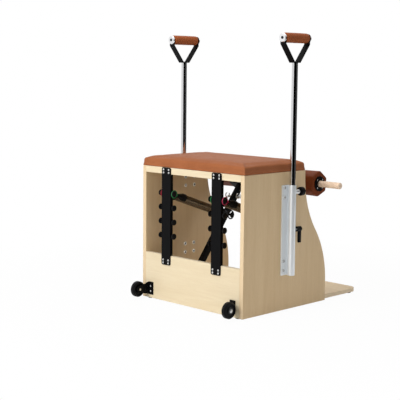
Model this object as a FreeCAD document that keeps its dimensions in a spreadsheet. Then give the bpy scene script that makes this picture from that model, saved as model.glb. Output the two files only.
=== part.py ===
import FreeCAD, Part
import math
import os
import re

import Sketcher
from FreeCAD import Placement, Rotation, Vector

# Pilates chair: a plywood case with a padded seat, sprung pedals, sliding handles and transport wheels.
# Millimetres. +Z is up, the pedals face -Y, the open back faces +Y, and the user's right hand is at -X.
# The origin lies on the floor, under the middle of the whole chair's box.

SIZES = {
    # plywood case
    "case_width": 610,
    "case_height": 588.3,
    "panel_thick": 20,
    "top_depth": 383,
    "bottom_depth": 536,
    "curve_drop": 28.3,
    "curve_bottom": 90,
    "base_depth": 798,
    "board_thick": 18,
    "board_corner": 34,
    "back_height": 204,
    "rail_height": 28,
    "deck_thick": 18,
    "edge_round": 1.5,
    # rubber feet
    "foot_height": 4,
    "foot_radius": 14,
    "foot_bevel": 1,
    "foot_side": 18,
    "foot_rear": 18,
    "foot_middle": 500,
    "foot_front": 45,
    # seat cushion
    "cushion_side": 3,
    "cushion_rear": 5,
    "cushion_front": 2,
    "cushion_edge": 33,
    "cushion_crown": 12,
    "cushion_corner": 26,
    "cushion_draw": 4,
    # spring bars and their screws
    "bar_spacing": 303,
    "bar_width": 55,
    "bar_thick": 4,
    "bar_flange": 11,
    "bar_corner": 8,
    "bar_drop": 42,
    "bar_gap": 2,
    "screw_column": 16,
    "screw_end": 9,
    "screw_row": 13,
    "screw_radius": 2.2,
    "screw_head": 4,
    "screw_head_height": 2.6,
    "screw_grip": 14,
    # spring pegs
    "peg_count": 4,
    "peg_top": 111.8,
    "peg_foot": 86.5,
    "peg_depth": 5.2,
    "peg_radius": 4.6,
    "peg_reach": 44,
    "disc_radius": 13,
    "disc_thick": 4,
    "disc_bevel": 1.2,
    # springs, their eyes and caps
    "eye_ring": 15.6,
    "eye_wire": 2.2,
    "eye_shank": 4,
    "front_wire": 3,
    "front_shank": 4,
    "open_clear": 10,
    "cap_start": 27,
    "cap_length": 46,
    "cap_taper": 30,
    "cap_small": 7,
    "cap_large": 16.5,
    "cup_radius": 15,
    "cup_depth": 14,
    "coil_radius": 12,
    "coil_wire": 2,
    "coil_turns": 20,
    "coil_clear": 1,
    # pedal pivot
    "pivot_depth": 150,
    "pivot_height": 62,
    "shaft_radius": 10,
    "bearing_radius": 30,
    "bearing_plate": 6,
    "bearing_boss": 18,
    "bearing_length": 16,
    "collar_radius": 17,
    "collar_width": 12,
    "bush_radius": 13,
    "bush_flange": 18,
    "bush_lip": 3,
    "bush_length": 25,
    # pedal arms
    "arm_angle": 52.85,
    "arm_width": 30,
    "arm_thick": 20,
    "arm_wall": 3,
    "arm_round": 3,
    "hub_radius": 20,
    "hub_length": 70,
    "plate_thick": 5,
    "plate_width": 100,
    "plate_depth": 44,
    "pin_gap": 210.6,
    "pin_radius": 5,
    "hook_gap": 115.6,
    "hook_ring": 12,
    "hook_wire": 2.5,
    "hook_start": 200,
    "hook_turn": 285,
    # pedal pads and the dowel
    "pad_sides": 6,
    "pad_reach": 574.6,
    "pad_apothem": 49.4,
    "pad_round": 9,
    "pad_length": 284,
    "pad_gap": 12,
    "pad_end_round": 5,
    "sleeve_wall": 3,
    "flange_radius": 32.5,
    "flange_thick": 4,
    "dowel_radius": 14,
    "dowel_length": 812,
    "dowel_round": 3,
    # handle rails
    "rail_depth": 270,
    "rail_bottom": 152,
    "rail_drop": 54.3,
    "rail_flange": 84,
    "rail_thick": 5,
    "tube_radius": 16,
    "tube_bore": 13.8,
    "neck_width": 16,
    "boss_radius": 11,
    "boss_reach": 18,
    "pole_offset": 24,
    "bolt_column": 27.5,
    "bolt_bottom": 20,
    "bolt_top": 11,
    "bolt_row": 40,
    "bolt_radius": 4,
    "bolt_head": 6.5,
    "bolt_head_height": 4,
    "nut_radius": 5.5,
    "nut_flange": 9,
    "nut_flange_thick": 2.5,
    "nut_length": 13,
    # handle poles, forks and grips
    "guide_height": 26,
    "pole_radius": 12.5,
    "pole_wall": 2,
    "pole_rise": 452.5,
    "pole_length": 850,
    "stop_pitch": 30,
    "stop_count": 11,
    "stop_radius": 4.4,
    "fork_width": 28,
    "fork_thick": 5,
    "fork_foot": 38,
    "fork_span": 156,
    "fork_knee": 75,
    "fork_end_round": 13,
    "grip_rise": 101,
    "grip_radius": 21.8,
    "grip_swell": 1,
    "grip_cap_radius": 18.8,
    "grip_cap_thick": 5,
    "grip_stud": 4,
    "grip_stud_length": 30,
    "grip_stud_clear": 1,
    # pull plungers and clamping levers
    "plunger_drop": 30,
    "plunger_pin": 4,
    "thread_radius": 7,
    "barrel_radius": 10,
    "barrel_length": 20,
    "knob_gap": 7,
    "knob_radius": 18.5,
    "knob_length": 24,
    "knob_round": 4,
    "tip_clear": 0.3,
    "lever_drop": 189,
    "lever_stud": 4,
    "lever_hub": 11,
    "lever_shoulder": 6,
    "lever_start": 12,
    "lever_hub_length": 26,
    "lever_length": 58,
    "lever_tip": 5.5,
    "lever_end_round": 12,
    "lever_thick": 11,
    # transport wheels
    "wheel_offset": 54.5,
    "wheel_height": 42.5,
    "wheel_radius": 34.5,
    "wheel_width": 24,
    "wheel_mid": 278,
    "wheel_gap": 2,
    "wheel_round": 5,
    "wheel_recess": 4,
    "wheel_hub": 13,
    "wheel_rim": 26,
    "axle_radius": 5,
    "axle_head": 8,
    "axle_head_height": 5,
    "bracket_thick": 4,
    "bracket_width": 30,
    "bracket_bottom": 16,
    "bracket_tall": 56,
    "bracket_nose": 16,
    # fits and cuts
    "fit_clear": 0.05,
    "run_clear": 0.08,
    "overrun": 40,
}

X_AXIS = Vector(1, 0, 0)
Y_AXIS = Vector(0, 1, 0)
Z_AXIS = Vector(0, 0, 1)

FULL_TURN = 360
HALF_TURN = FULL_TURN / 2
QUARTER_TURN = FULL_TURN / 4

# Where the main lines of the chair lie, written in the sizes above
BACK = "((base_depth - wheel_offset - wheel_radius) / 2)"
OUTER = "(case_width / 2)"
INNER = "(case_width / 2 - panel_thick)"
BAR_X = "(bar_spacing / 2)"
BAR_BOTTOM = "(back_height - bar_drop)"
BAR_LENGTH = "(case_height - back_height + bar_drop)"
SPRING_OFFSET = "((bar_width / 2 + peg_reach - disc_thick) / 2)"
PEG_HEIGHT = "(case_height - peg_top)"
PEG_PITCH = f"(({PEG_HEIGHT} - back_height - peg_foot) / (peg_count - 1))"
PIN_REACH = "(pad_reach - pin_gap)"
HOOK_REACH = "(pad_reach - hook_gap)"
PIN_DEPTH = f"(pivot_depth + {PIN_REACH} * cos(arm_angle))"
PIN_HEIGHT = f"(pivot_height + {PIN_REACH} * sin(arm_angle))"
SPRING_RUN = f"({PIN_DEPTH} - peg_depth)"
SPRING_FALL = f"({PEG_HEIGHT} - {PIN_HEIGHT})"
SPRING_LENGTH = f"sqrt({SPRING_RUN} ^ 2 + {SPRING_FALL} ^ 2)"
SPRING_TURN = f"({QUARTER_TURN} + atan({SPRING_FALL} / {SPRING_RUN}) / 1 deg)"
SLEEVE_RADIUS = "(dowel_radius + run_clear + sleeve_wall)"
POLE_X = "(case_width / 2 + pole_offset)"
CURVE_TOP = "(case_height - curve_drop)"
RAIL_TOP = "(case_height - rail_drop)"
PLUNGER_HEIGHT = f"({RAIL_TOP} - plunger_drop)"
LEVER_HEIGHT = f"({RAIL_TOP} - lever_drop)"
POLE_TOP = "(case_height + pole_rise)"
GRIP_HEIGHT = f"({POLE_TOP} + grip_rise)"
BRACKET_X = "(wheel_mid - wheel_width / 2 - wheel_gap)"

SIDES = (("left", 1), ("right", -1))
SEATS = (("outer", 1), ("inner", -1))

doc = FreeCAD.newDocument("pilates_chair")
sheet = doc.addObject("Spreadsheet::Sheet", "sizes")
for row, (name, number) in enumerate(SIZES.items(), start=1):
    sheet.set(f"A{row}", name)
    sheet.set(f"B{row}", str(number))
    sheet.setAlias(f"B{row}", name)
doc.recompute()

nodes = []


def bound(text):
    """The expression with every size name pointed at its cell."""
    return re.sub(r"[a-z_]+", lambda word: f"sizes.{word[0]}" if word[0] in SIZES else word[0], str(text))


def val(text):
    """The number that an expression gives now."""
    return float(sheet.evalExpression(bound(text)))


def depth(text):
    """World Y of a point that lies this far in front of the back face."""
    return f"{BACK} - ({text})"


def height(text):
    """World Z of a point that lies this far above the panels' lower edge."""
    return f"foot_height + ({text})"


def place(thing, x=0, y=0, z=0, axis=None, turn=0):
    """Puts a piece in the chair, turned about an axis by an angle in degrees."""
    thing.Placement = Placement(Vector(), Rotation(axis or Z_AXIS, val(turn)))
    for letter, text in zip("xyz", (x, y, z)):
        thing.setExpression(f"Placement.Base.{letter}", bound(text))
    if isinstance(turn, str):
        thing.setExpression("Placement.Rotation.Angle", bound(f"({turn}) * 1 deg"))
    return thing


def keep(thing, name):
    """Names a finished piece and lists it for writing."""
    thing.Label = name
    nodes.append(thing)
    return thing


def new_body(name):
    return doc.addObject("PartDesign::Body", name)


def new_sketch(body, plane, lift=0):
    """An empty sketch on one of the body's own planes, lifted along the plane's normal."""
    sketch = body.newObject("Sketcher::SketchObject", f"{body.Name}_outline")
    base = [face for face in body.Origin.OriginFeatures if face.Role == f"{plane}_Plane"][0]
    sketch.AttachmentSupport = [(base, "")]
    sketch.MapMode = "FlatFace"
    if lift:
        sketch.setExpression("AttachmentOffset.Base.z", bound(lift))
    return sketch


def pin_point(sketch, item, end, x, y):
    """Holds one point of a sketch at bound distances from the sketch's origin."""
    for kind, text in (("DistanceX", x), ("DistanceY", y)):
        number = sketch.addConstraint(Sketcher.Constraint(kind, -1, 1, item, end, val(text)))
        sketch.setExpression(f"Constraints[{number}]", bound(text))


def pin_radius(sketch, item, text):
    number = sketch.addConstraint(Sketcher.Constraint("Radius", item, val(text)))
    sketch.setExpression(f"Constraints[{number}]", bound(text))


def arc_between(start, end, radius, turn):
    """The short arc from start to end; turn is 1 for counter-clockwise and -1 for clockwise."""
    chord = end - start
    rise = math.sqrt(max(radius ** 2 - (chord.Length / 2) ** 2, 0))
    across = Vector(-chord.y, chord.x, 0).normalize() * turn
    centre = (start + end) / 2 + across * rise
    first, last = (start, end) if turn > 0 else (end, start)
    angles = [math.atan2(point.y - centre.y, point.x - centre.x) for point in (first, last)]
    return Part.ArcOfCircle(Part.Circle(centre, Z_AXIS, radius), *angles)


def draw_loop(sketch, corners):
    """A closed outline. A corner is (x, y), or (x, y, radius, turn) where an arc leaves it."""
    points = [Vector(val(corner[0]), val(corner[1]), 0) for corner in corners]
    ends = []
    for number, corner in enumerate(corners):
        start, end = points[number], points[(number + 1) % len(points)]
        if len(corner) == 2:
            item = sketch.addGeometry(Part.LineSegment(start, end))
            ends.append((item, 1, 2))
        else:
            item = sketch.addGeometry(arc_between(start, end, val(corner[2]), corner[3]))
            ends.append((item, 1, 2) if corner[3] > 0 else (item, 2, 1))
    for number, (item, _, last) in enumerate(ends):
        follower, first, _ = ends[(number + 1) % len(ends)]
        sketch.addConstraint(Sketcher.Constraint("Coincident", item, last, follower, first))
    for (item, first, _), corner in zip(ends, corners):
        pin_point(sketch, item, first, corner[0], corner[1])
        if len(corner) == 4:
            pin_radius(sketch, item, corner[2])


def draw_hole(sketch, x, y, radius):
    item = sketch.addGeometry(Part.Circle(Vector(val(x), val(y), 0), Z_AXIS, val(radius)))
    pin_point(sketch, item, 3, x, y)
    pin_radius(sketch, item, radius)


def rectangle(left, right, low, high):
    return [(left, low), (right, low), (right, high), (left, high)]


def round_rectangle(left, right, low, high, radius):
    """A rectangle with four quarter-circle corners, drawn counter-clockwise."""
    return [
        (f"{left} + {radius}", low), (f"{right} - {radius}", low, radius, 1),
        (right, f"{low} + {radius}"), (right, f"{high} - {radius}", radius, 1),
        (f"{right} - {radius}", high), (f"{left} + {radius}", high, radius, 1),
        (left, f"{high} - {radius}"), (left, f"{low} + {radius}", radius, 1),
    ]


def pad(body, sketch, length, both_ways=False):
    feature = body.newObject("PartDesign::Pad", f"{body.Name}_pad")
    feature.Profile = sketch
    feature.setExpression("Length", bound(length))
    feature.Midplane = both_ways
    return feature


def pocket(body, sketch, length, both_ways=False, backwards=False):
    """Cuts a sketch out of the body, and makes sure that it did cut."""
    doc.recompute()
    before = body.Shape.Volume
    feature = body.newObject("PartDesign::Pocket", f"{body.Name}_pocket")
    feature.Profile = sketch
    feature.setExpression("Length", bound(length))
    feature.Midplane = both_ways
    feature.Reversed = backwards
    doc.recompute()
    if body.Shape.Volume >= before:
        raise ValueError(f"{body.Name}: a pocket cut nothing")
    return feature


def ease(body, radius, chosen):
    """Rounds the edges of the body's last feature that the test picks out."""
    doc.recompute()
    base = body.Tip
    edges = [f"Edge{number}" for number, edge in enumerate(base.Shape.Edges, start=1) if chosen(edge)]
    feature = body.newObject("PartDesign::Fillet", f"{body.Name}_round")
    feature.Base = (base, edges)
    feature.setExpression("Radius", bound(radius))
    return feature


def is_hole_edge(edge):
    return isinstance(edge.Curve, Part.Circle) and edge.isClosed()


def turned(name, axis, profile, body=None):
    """A piece turned on a lathe: its profile is a loop of (along, radius) corners about the axis."""
    body = body or new_body(name)
    sketch = new_sketch(body, "XZ" if axis == "Z" else "XY")
    if axis == "X":
        draw_loop(sketch, profile)
    else:
        draw_loop(sketch, [(corner[1], corner[0]) for corner in profile])
    feature = body.newObject("PartDesign::Revolution", f"{name}_turn")
    feature.Profile = sketch
    feature.ReferenceAxis = (sketch, ["H_Axis" if axis == "X" else "V_Axis"])
    feature.Angle = FULL_TURN
    return body


def cylinder_profile(start, end, radius):
    return [(start, 0), (end, 0), (end, radius), (start, radius)]


def ring_profile(start, end, bore, radius):
    return [(start, bore), (end, bore), (end, radius), (start, radius)]


def facing(sign):
    """The turn about Z that points a left-hand piece to the given side."""
    return 0 if sign > 0 else HALF_TURN


def group(name, master, spots):
    """Like pieces in one node: each spot is (x, y, z) or (x, y, z, axis, turn)."""
    links = []
    for number, spot in enumerate(spots, start=1):
        link = doc.addObject("App::Link", f"{name}_{number}")
        link.LinkedObject = master
        link.LinkTransform = False
        links.append(place(link, *spot))
    compound = doc.addObject("Part::Compound", f"{name}_set")
    compound.Links = links
    return keep(compound, name)


def bar_screw_places():
    """(x from the bar's middle, height above the bar's lower end) of a bar's eight screws."""
    rows = ["screw_end", "screw_end + screw_row",
            f"{BAR_LENGTH} - screw_end - screw_row", f"{BAR_LENGTH} - screw_end"]
    return [(f"{side} * screw_column", row) for row in rows for side in (-1, 1)]


def rail_bolt_places():
    """(distance in front of the pole, height above the panels' lower edge) of a rail's eight bolts."""
    rows = ["rail_bottom + bolt_bottom", "rail_bottom + bolt_bottom + bolt_row",
            f"{RAIL_TOP} - bolt_top - bolt_row", f"{RAIL_TOP} - bolt_top"]
    return [(f"{side} * bolt_column", row) for row in rows for side in (-1, 1)]


def side_panel(side, sign):
    """Plywood side: its front edge sweeps forward in two tangent arcs."""
    body = new_body(f"side_panel_{side}")
    sketch = new_sketch(body, "YZ")
    step = "(bottom_depth - top_depth)"
    sweep = f"(({step} ^ 2 + ({CURVE_TOP} - curve_bottom) ^ 2) / (4 * {step}))"
    draw_loop(sketch, [
        (0, 0), (0, "case_height"), ("-top_depth", "case_height"),
        ("-top_depth", CURVE_TOP, sweep, -1),
        ("-(top_depth + bottom_depth) / 2", f"({CURVE_TOP} + curve_bottom) / 2", sweep, 1),
        ("-bottom_depth", "curve_bottom"), ("-bottom_depth", 0),
    ])
    for forward, up in rail_bolt_places():
        draw_hole(sketch, f"-(rail_depth + {forward})", up, "nut_radius + fit_clear")
    pad(body, sketch, "panel_thick")
    ease(body, "edge_round",
         lambda edge: not is_hole_edge(edge) and edge.BoundBox.XLength < val("edge_round"))
    place(body, INNER if sign > 0 else f"-{OUTER}", depth(0), height(0))
    return keep(body, f"side_panel_{side}")


def cross_board(name, low, high):
    """A plywood board across the back between the side panels, with pilot holes for the bars' screws."""
    body = new_body(name)
    sketch = new_sketch(body, "XZ")
    draw_loop(sketch, rectangle(f"-{INNER}", INNER, low, high))
    for x, up in bar_screw_places():
        level = f"{BAR_BOTTOM} + {up}"
        if val(low) < val(level) < val(high):
            for sign in (-1, 1):
                draw_hole(sketch, f"{sign} * {BAR_X} + {x}", level, "screw_radius + fit_clear")
    pad(body, sketch, "panel_thick")
    ease(body, "edge_round", lambda edge: edge.BoundBox.XLength > val(INNER))
    place(body, 0, depth(0), height(0))
    return keep(body, name)


def seat_board():
    body = new_body("seat_board")
    sketch = new_sketch(body, "XY")
    draw_loop(sketch, rectangle(f"-{INNER}", INNER, "-top_depth", "-panel_thick"))
    pad(body, sketch, "deck_thick")
    place(body, 0, depth(0), height("case_height - deck_thick"))
    return keep(body, "seat_board")


def base_board():
    """The long floor of the case; its free front end has rounded corners."""
    body = new_body("base_board")
    sketch = new_sketch(body, "XY")
    draw_loop(sketch, [
        (f"-{INNER}", "-panel_thick"), (f"-{INNER}", "-base_depth + board_corner", "board_corner", 1),
        (f"-{INNER} + board_corner", "-base_depth"),
        (f"{INNER} - board_corner", "-base_depth", "board_corner", 1),
        (INNER, "-base_depth + board_corner"), (INNER, "-panel_thick"),
    ])
    pad(body, sketch, "board_thick")
    doc.recompute()
    front = val("-bottom_depth")
    ease(body, "edge_round",
         lambda edge: edge.BoundBox.ZLength < val("edge_round") and edge.BoundBox.YMax < front)
    place(body, 0, depth(0), height(0))
    return keep(body, "base_board")


def rubber_feet():
    master = turned("rubber_foot", "Z", [
        (0, 0), (0, "foot_radius - foot_bevel"), ("foot_bevel", "foot_radius"),
        ("foot_height", "foot_radius"), ("foot_height", 0),
    ])
    side = f"({INNER} - foot_side)"
    rows = (("foot_rear", side), ("foot_middle", side), ("base_depth - foot_front", side))
    return group("rubber_feet", master, [
        (f"{sign} * {x}", depth(back), 0) for back, x in rows for _, sign in SIDES])


def cushion_section(reach_x, rear, front, corner, draw, level):
    """A level outline of the cushion: round corners, and sides that pull in between them."""
    def side(start, end, inward):
        return Part.Arc(start, (start + end) / 2 + inward * draw, end).toShape()

    def bend(start, end, middle, away):
        tip = middle + away * (corner / math.sqrt(2))
        return Part.Arc(start, tip, end).toShape()

    edges = []
    spots = [(reach_x, front, 1, -1), (reach_x, rear, 1, 1),
             (-reach_x, rear, -1, 1), (-reach_x, front, -1, -1)]
    bends = []
    for number, (x, y, out_x, out_y) in enumerate(spots):
        middle = Vector(x - out_x * corner, y - out_y * corner, level)
        on_side = middle + Vector(out_x * corner, 0, 0)
        on_end = middle + Vector(0, out_y * corner, 0)
        first, last = (on_end, on_side) if number % 2 == 0 else (on_side, on_end)
        bends.append((first, last, middle, Vector(out_x, out_y, 0)))
    inwards = (Vector(-1, 0, 0), Vector(0, -1, 0), Vector(1, 0, 0), Vector(0, 1, 0))
    for number, inward in enumerate(inwards):
        edges.append(bend(*bends[number]))
        edges.append(side(bends[number][1], bends[(number + 1) % len(bends)][0], inward))
    return Part.Wire(edges)


def seat_cushion():
    """A padded seat: drawn-in band, full edge and a low crown."""
    edge, crown = val("cushion_edge"), val("cushion_crown")
    corner, draw = val("cushion_corner"), val("cushion_draw")
    reach_x = val(f"{OUTER} + cushion_side")
    rear, front = val("cushion_rear"), val("-top_depth - cushion_front")
    # share of the edge height, of the crown height, of the inset, which runs up to half the seat's depth
    level_shares = ((0, 0, 0.02), (0.2, 0, 0.0), (0.55, 0, 0.012), (0.85, 0, 0.0), (1, 0.1, 0.02),
                    (1, 0.45, 0.14), (1, 0.8, 0.4), (1, 1, 0.75))
    half_depth = (rear - front) / 2
    sections = []
    for edge_share, crown_share, inset_share in level_shares:
        inset = half_depth * inset_share
        level = edge * edge_share + crown * crown_share
        bend = corner * (1 - inset_share / 2)
        sections.append(cushion_section(
            reach_x - inset, rear - inset, front + inset, bend, draw * (1 - inset_share), level))
    cushion = doc.addObject("Part::Feature", "seat_cushion")
    cushion.Shape = Part.makeLoft(sections, True, True)
    place(cushion, 0, depth(0), height("case_height"))
    return keep(cushion, "seat_cushion")


def spring_bar(side, sign):
    """A channel strip: screwed flat to the boards at its ends, flanged between them to carry the pegs."""
    body = new_body(f"spring_bar_{side}")
    plate = new_sketch(body, "XZ")
    half = "bar_width / 2"
    draw_loop(plate, round_rectangle(f"-{half}", half, 0, BAR_LENGTH, "bar_corner"))
    for x, up in bar_screw_places():
        draw_hole(plate, x, up, "screw_radius + fit_clear")
    pad(body, plate, "bar_thick")
    walls = new_sketch(body, "XZ")
    low = "bar_drop + bar_gap"
    high = f"{BAR_LENGTH} - rail_height - bar_gap"
    draw_loop(walls, rectangle(f"-{half}", f"-{half} + bar_thick", low, high))
    draw_loop(walls, rectangle(f"{half} - bar_thick", half, low, high))
    pad(body, walls, "bar_thick + bar_flange")
    holes = new_sketch(body, "YZ")
    for number in range(SIZES["peg_count"]):
        level = f"{PEG_HEIGHT} - {number} * {PEG_PITCH} - {BAR_BOTTOM}"
        draw_hole(holes, "-(bar_thick + peg_depth)", level, "peg_radius + fit_clear")
    pocket(body, holes, "bar_width + overrun", both_ways=True)
    place(body, f"{sign} * {BAR_X}", f"{depth(0)} + bar_thick", height(BAR_BOTTOM))
    return keep(body, f"spring_bar_{side}")


def bar_screws():
    """Round-headed wood screws, heads to the rear."""
    master = turned("bar_screw", "Y", [
        ("-bar_thick - screw_grip", 0), ("-bar_thick - screw_grip", "screw_radius"), (0, "screw_radius"),
        (0, "screw_head"), ("screw_head_height / 2", "screw_head"),
        ("screw_head_height", "screw_head / 2"), ("screw_head_height", 0),
    ])
    return group("bar_screws", master, [
        (f"{sign} * {BAR_X} + {x}", f"{depth(0)} + bar_thick", height(f"{BAR_BOTTOM} + {up}"))
        for _, sign in SIDES for x, up in bar_screw_places()])


def spool_profile(rod, reach):
    """Half the outline of a rod with a bevelled disc at each end."""
    inner = f"({reach} - disc_thick)"
    return [
        (f"-{reach}", 0), (f"-{reach}", "disc_radius - disc_bevel"),
        (f"-{reach} + disc_bevel", "disc_radius"),
        (f"-{inner}", "disc_radius"), (f"-{inner}", rod), (inner, rod), (inner, "disc_radius"),
        (f"{reach} - disc_bevel", "disc_radius"), (reach, "disc_radius - disc_bevel"), (reach, 0),
    ]


def spring_pegs():
    master = turned("spring_peg", "X", spool_profile("peg_radius", "peg_reach"))
    return group("spring_pegs", master, [
        (f"{sign} * {BAR_X}", depth("peg_depth"), height(f"{PEG_HEIGHT} - {number} * {PEG_PITCH}"))
        for _, sign in SIDES for number in range(SIZES["peg_count"])])


def along_spring(thing, x):
    """Places a piece whose own Z axis runs from the peg to the pedal's pin."""
    return place(thing, x, depth("peg_depth"), height(PEG_HEIGHT), X_AXIS, SPRING_TURN)


def add_ring(body, centre, ring, wire):
    """An eye whose axis lies along X, added to a body at a height on the body's Z axis."""
    feature = body.newObject("PartDesign::AdditiveTorus", f"{body.Name}_ring")
    feature.setExpression("Radius1", bound(ring))
    feature.setExpression("Radius2", bound(wire))
    feature.Placement = Placement(Vector(), Rotation(Y_AXIS, QUARTER_TURN))
    feature.setExpression("Placement.Base.z", bound(centre))
    return feature


def spring_eye(side, sign, seat, outward):
    """The coloured eye that hangs on the peg, with the shank that the cap grips."""
    centre = "(eye_ring - eye_wire - peg_radius - run_clear)"
    body = turned(f"spring_eye_{side}_{seat}", "Z", cylinder_profile(
        f"{centre} + eye_ring", "cap_start + cap_length - cup_depth", "eye_shank"))
    add_ring(body, centre, "eye_ring", "eye_wire")
    along_spring(body, f"{sign} * ({BAR_X} + {outward} * {SPRING_OFFSET})")
    return keep(body, f"spring_eye_{side}_{seat}")


def spring_spots(sign):
    return [f"{sign} * ({BAR_X} + {outward} * {SPRING_OFFSET})" for _, outward in SEATS]


def spring_rear_caps(side, sign):
    """Tapered caps: a cup for the coil's last turn, and a bore for the eye's shank."""
    floor = "cap_start + cap_length - cup_depth"
    master = turned(f"rear_cap_{side}", "Z", [
        ("cap_start", "eye_shank + fit_clear"), ("cap_start", "cap_small"),
        ("cap_start + cap_taper", "cap_large"), ("cap_start + cap_length", "cap_large"),
        ("cap_start + cap_length", "cup_radius"), (floor, "cup_radius"), (floor, "eye_shank + fit_clear"),
    ])
    return group(f"spring_rear_caps_{side}", master, [
        (x, depth("peg_depth"), height(PEG_HEIGHT), X_AXIS, SPRING_TURN) for x in spring_spots(sign)])


def spring_front_caps(side, sign):
    """The same caps turned round, each with the wide eye that goes over the pedal's pin."""
    tip = f"({SPRING_LENGTH} - cap_start)"
    floor = f"{tip} - cap_length + cup_depth"
    ring = "(pin_radius + open_clear + front_wire)"
    master = turned(f"front_cap_{side}", "Z", [
        (f"{SPRING_LENGTH} - {ring}", 0), (f"{SPRING_LENGTH} - {ring}", "front_shank"), (tip, "front_shank"),
        (tip, "cap_small"), (f"{tip} - cap_taper", "cap_large"), (f"{tip} - cap_length", "cap_large"),
        (f"{tip} - cap_length", "cup_radius"), (floor, "cup_radius"), (floor, 0),
    ])
    add_ring(master, SPRING_LENGTH, ring, "front_wire")
    return group(f"spring_front_caps_{side}", master, [
        (x, depth("peg_depth"), height(PEG_HEIGHT), X_AXIS, SPRING_TURN) for x in spring_spots(sign)])


def biarc(start, start_way, end, end_way):
    """Two arcs, tangent to each other and to the two given directions."""
    chord = end - start
    along = chord.dot(start_way + end_way)
    spread = 2 * (1 - start_way.dot(end_way))
    reach = (math.sqrt(along ** 2 + spread * chord.dot(chord)) - along) / spread
    corners = (start + start_way * reach, end - end_way * reach)
    join = (corners[0] + corners[1]) / 2
    arcs = []
    for first, corner, last in ((start, corners[0], join), (join, corners[1], end)):
        middle = (first + last) / 2
        half = (last - first).Length / 2
        lean = math.acos(half / reach)
        top = middle + (corner - middle).normalize() * half * math.tan(lean / 2)
        arcs.append(Part.Arc(first, top, last).toShape())
    return arcs


def spring_coil(x):
    """One spring's wire: a helix of half-turn biarcs whose ends run straight into the caps."""
    radius, wire = val("coil_radius"), val("coil_wire")
    turns = int(round(val("coil_turns")))
    start = val("cap_start + cap_length - cup_depth + coil_wire + coil_clear")
    end = val(f"{SPRING_LENGTH} - cap_start - cap_length + cup_depth - coil_wire - coil_clear")
    climb = (end - start) / (turns * math.tau)

    def point(angle):
        return Vector(x + radius * math.cos(angle), radius * math.sin(angle), start + climb * angle)

    def way(angle):
        return Vector(-radius * math.sin(angle), radius * math.cos(angle), climb).normalize()

    stops = [number * math.pi for number in range(2 * turns + 1)]
    first, last = stops[0], stops[-1]
    lead_in = point(first) - way(first) * 2 * wire
    edges = [Part.LineSegment(lead_in, point(first)).toShape()]
    for here, there in zip(stops, stops[1:]):
        edges += biarc(point(here), way(here), point(there), way(there))
    edges.append(Part.LineSegment(point(last), point(last) + way(last) * 2 * wire).toShape())
    path = Part.Wire(edges)
    pipe = Part.BRepOffsetAPI.MakePipeShell(path)
    pipe.add(Part.Wire(Part.makeCircle(wire, lead_in, way(first))))
    pipe.build()
    pipe.makeSolid()
    report_gap(path, turns, wire)
    return pipe.shape()


def report_gap(path, turns, wire):
    """Prints the least gap between one turn of a wire and the turns beside it."""
    steps_per_turn = 24
    points = path.discretize(Number=turns * steps_per_turn)
    gap = min((points[one] - points[two]).Length
              for one in range(len(points))
              for two in range(one + steps_per_turn // 2, min(one + 2 * steps_per_turn, len(points))))
    print(f"coil of {turns} turns: least gap {gap - 2 * wire:.2f} mm")


def springs(side, sign):
    coils = doc.addObject("Part::Feature", f"springs_{side}")
    coils.Shape = Part.makeCompound([spring_coil(outward * val(SPRING_OFFSET)) for _, outward in SEATS])
    along_spring(coils, f"{sign} * {BAR_X}")
    return keep(coils, f"springs_{side}")


def pivot_parts():
    """The fixed shaft, its flange bearings on the panels, and the collars beside the arms."""
    spot = (depth("pivot_depth"), height("pivot_height"))
    shaft = turned("pivot_shaft", "X", cylinder_profile(f"-{INNER}", INNER, "shaft_radius"))
    place(shaft, 0, *spot)
    keep(shaft, "pivot_shaft")
    bore = "shaft_radius + fit_clear"
    bearing = turned("pivot_flange", "X", [
        (0, bore), (0, "bearing_radius"), ("-bearing_plate", "bearing_radius"),
        ("-bearing_plate", "bearing_boss"),
        ("-bearing_length", "bearing_boss"), ("-bearing_length", bore),
    ])
    group("pivot_flanges", bearing, [(INNER, *spot), (f"-{INNER}", *spot, Z_AXIS, HALF_TURN)])
    collar = turned("shaft_collar", "X", ring_profile(0, "collar_width", bore, "collar_radius"))
    reach = "(hub_length / 2 + bush_lip + run_clear)"
    group("shaft_collars", collar, [
        (f"{sign} * {BAR_X} + {way} * {reach}", *spot, Z_AXIS, facing(way))
        for _, sign in SIDES for way in (1, -1)])


def along_arm(thing, x):
    """Places a piece whose own Z axis runs up the arm from the pivot, with Y to its upper side."""
    return place(thing, x, depth("pivot_depth"), height("pivot_height"), X_AXIS,
                 f"{QUARTER_TURN} - arm_angle")


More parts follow.
